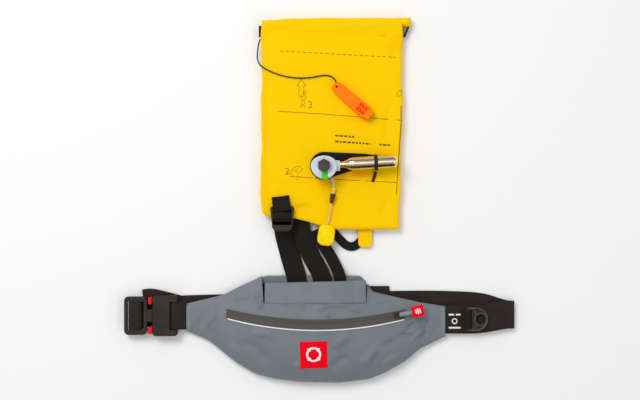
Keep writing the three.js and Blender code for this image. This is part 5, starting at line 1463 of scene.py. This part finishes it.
softened_copy("ladder_lock_frame", "ladder_lock", 0.0015, ladder_black, "black_plastic", 4,
              pointed_foot)
stub_piece = strap_piece("ladder_stub_band", [
    (-56.8, 5.2, 16.1), (-56.0, -3.5, 16.1), (-54.6, -10.6, 16.4), (-54.2, -14.6, 17.8),
    (-54.1, -15.9, 20.4), (-54.2, -14.6, 23.0), (-54.6, -10.6, 23.9), (-55.2, -5.5, 21.8),
    (-55.9, -0.5, 18.6), (-56.8, 4.9, 17.6),
], 0.025, (1.0, 0.1, 0.0))
finish_piece(stub_piece, "bladder", strap_black, "black_webbing", "ladder_stub_webbing")
wrap_piece = strap_piece("strap_over_bar", [
    (-53.2, -38.5, 10.0), (-53.5, -35.0, 12.6), (-53.8, -31.4, 17.0), (-53.9, -28.6, 21.6),
    (-54.0, -25.6, 24.2), (-54.0, -22.4, 24.2), (-54.0, -19.4, 21.8), (-54.0, -17.9, 18.6),
    (-54.0, -19.4, 16.9), (-54.0, -23.0, 16.5), (-53.9, -27.0, 14.8), (-53.7, -30.0, 12.4),
], 0.0248, (1.0, 0.0, 0.0))
finish_piece(wrap_piece, "ladder_lock", strap_black, "black_webbing")

# ---------------------------------------------------------------- D-ring and belt label
# The ring is a flat plastic moulding with a round hole, on a short tab sewn to the belt. Beside it
# a plain white label is printed on the webbing.

ring_dark = plastic_material("d_ring_moulding", (0.016, 0.0135, 0.0125), 0.4)
# The ribs are painted a lighter black than the plate: a painted highlight on the ribs of the one moulding.
rib_highlight_black = plastic_material("d_ring_rib_moulding", (0.045, 0.041, 0.040), 0.28, coat=0.2, gloss=0.4)
ring_low, ring_high = (Vector(c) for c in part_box("d_ring"))
RING_SINK = 0.0014
RIB_RADIUS = 0.0015
RING_EYE = (0.2305, (ring_low.y + ring_high.y) / 2)
RING_EYE_RADIUS = 0.0088
ring_bow = (ring_high.y - ring_low.y) / 2 - RIB_RADIUS
ring_bow_x = ring_high.x - RIB_RADIUS - ring_bow


def sunk_face(places):
    """The plate's upper face lies lower than the ribs that run along its edge and round its eye."""
    places[:, 2] -= np.where(places[:, 2] > (ring_low.z + ring_high.z) / 2, RING_SINK, 0.0)
    return places


def ring_rib(name, x, y, radius=RIB_RADIUS):
    """A round rib moulded along a path on the D-ring, its crest level with the ring's top."""
    route = np.stack([x, y, np.full(len(x), ring_high.z - radius)], axis=-1)
    finish_piece(sweep(name, route, round_profile(radius)), "d_ring", rib_highlight_black, "ring_plastic")


softened_copy("d_ring_frame", "d_ring", 0.0011, ring_dark, "ring_plastic", 4, sunk_face)
bow_turn = np.linspace(-math.pi / 2, math.pi / 2, 40)
rim_start = [ring_low.x + 0.003]
rim_x = np.concatenate([rim_start, ring_bow_x + ring_bow * np.cos(bow_turn), rim_start])
rim_y = RING_EYE[1] + ring_bow * np.concatenate([[-1], np.sin(bow_turn), [1]])
ring_rib("d_ring_rim_rib", rim_x, rim_y)
eye_turn = np.linspace(0, 2 * math.pi, 48)
ring_rib("d_ring_eye_rib", RING_EYE[0] + RING_EYE_RADIUS * np.cos(eye_turn),
         RING_EYE[1] + RING_EYE_RADIUS * np.sin(eye_turn), 0.0012)
for side, way in (("upper", 1), ("lower", -1)):
    leg_x = np.linspace(0.2200, 0.2248, 6)
    leg_y = RING_EYE[1] + way * np.linspace(0.0136, 0.0070, 6)
    ring_rib(f"d_ring_web_rib_{side}", leg_x, leg_y, 0.0011)
softened_copy("d_ring_tab_band", "d_ring_tab", 0.0005, strap_black, "black_webbing")
belt_face = level_at(front_level + BELT_HALF)
label_rows = (("upper_left", 0.1850, 0.1928, -0.1648, 0.0026),
              ("upper_right", 0.1952, 0.2022, -0.1648, 0.0026),
              ("lower", 0.1850, 0.2024, -0.1836, 0.0024))
for name, start, end, y, width in label_rows:
    bar_x = np.linspace(start, end, 8)
    print_line(f"label_bar_{name}", bar_x, np.full(8, y), belt_face, width, film_white, "pouch")
mark_turn = np.linspace(0, 2 * math.pi, 24)
print_line("label_ring", 0.1935 + 0.0034 * np.cos(mark_turn), -0.1742 + 0.0034 * np.sin(mark_turn),
           belt_face, 0.0016, film_white, "pouch")
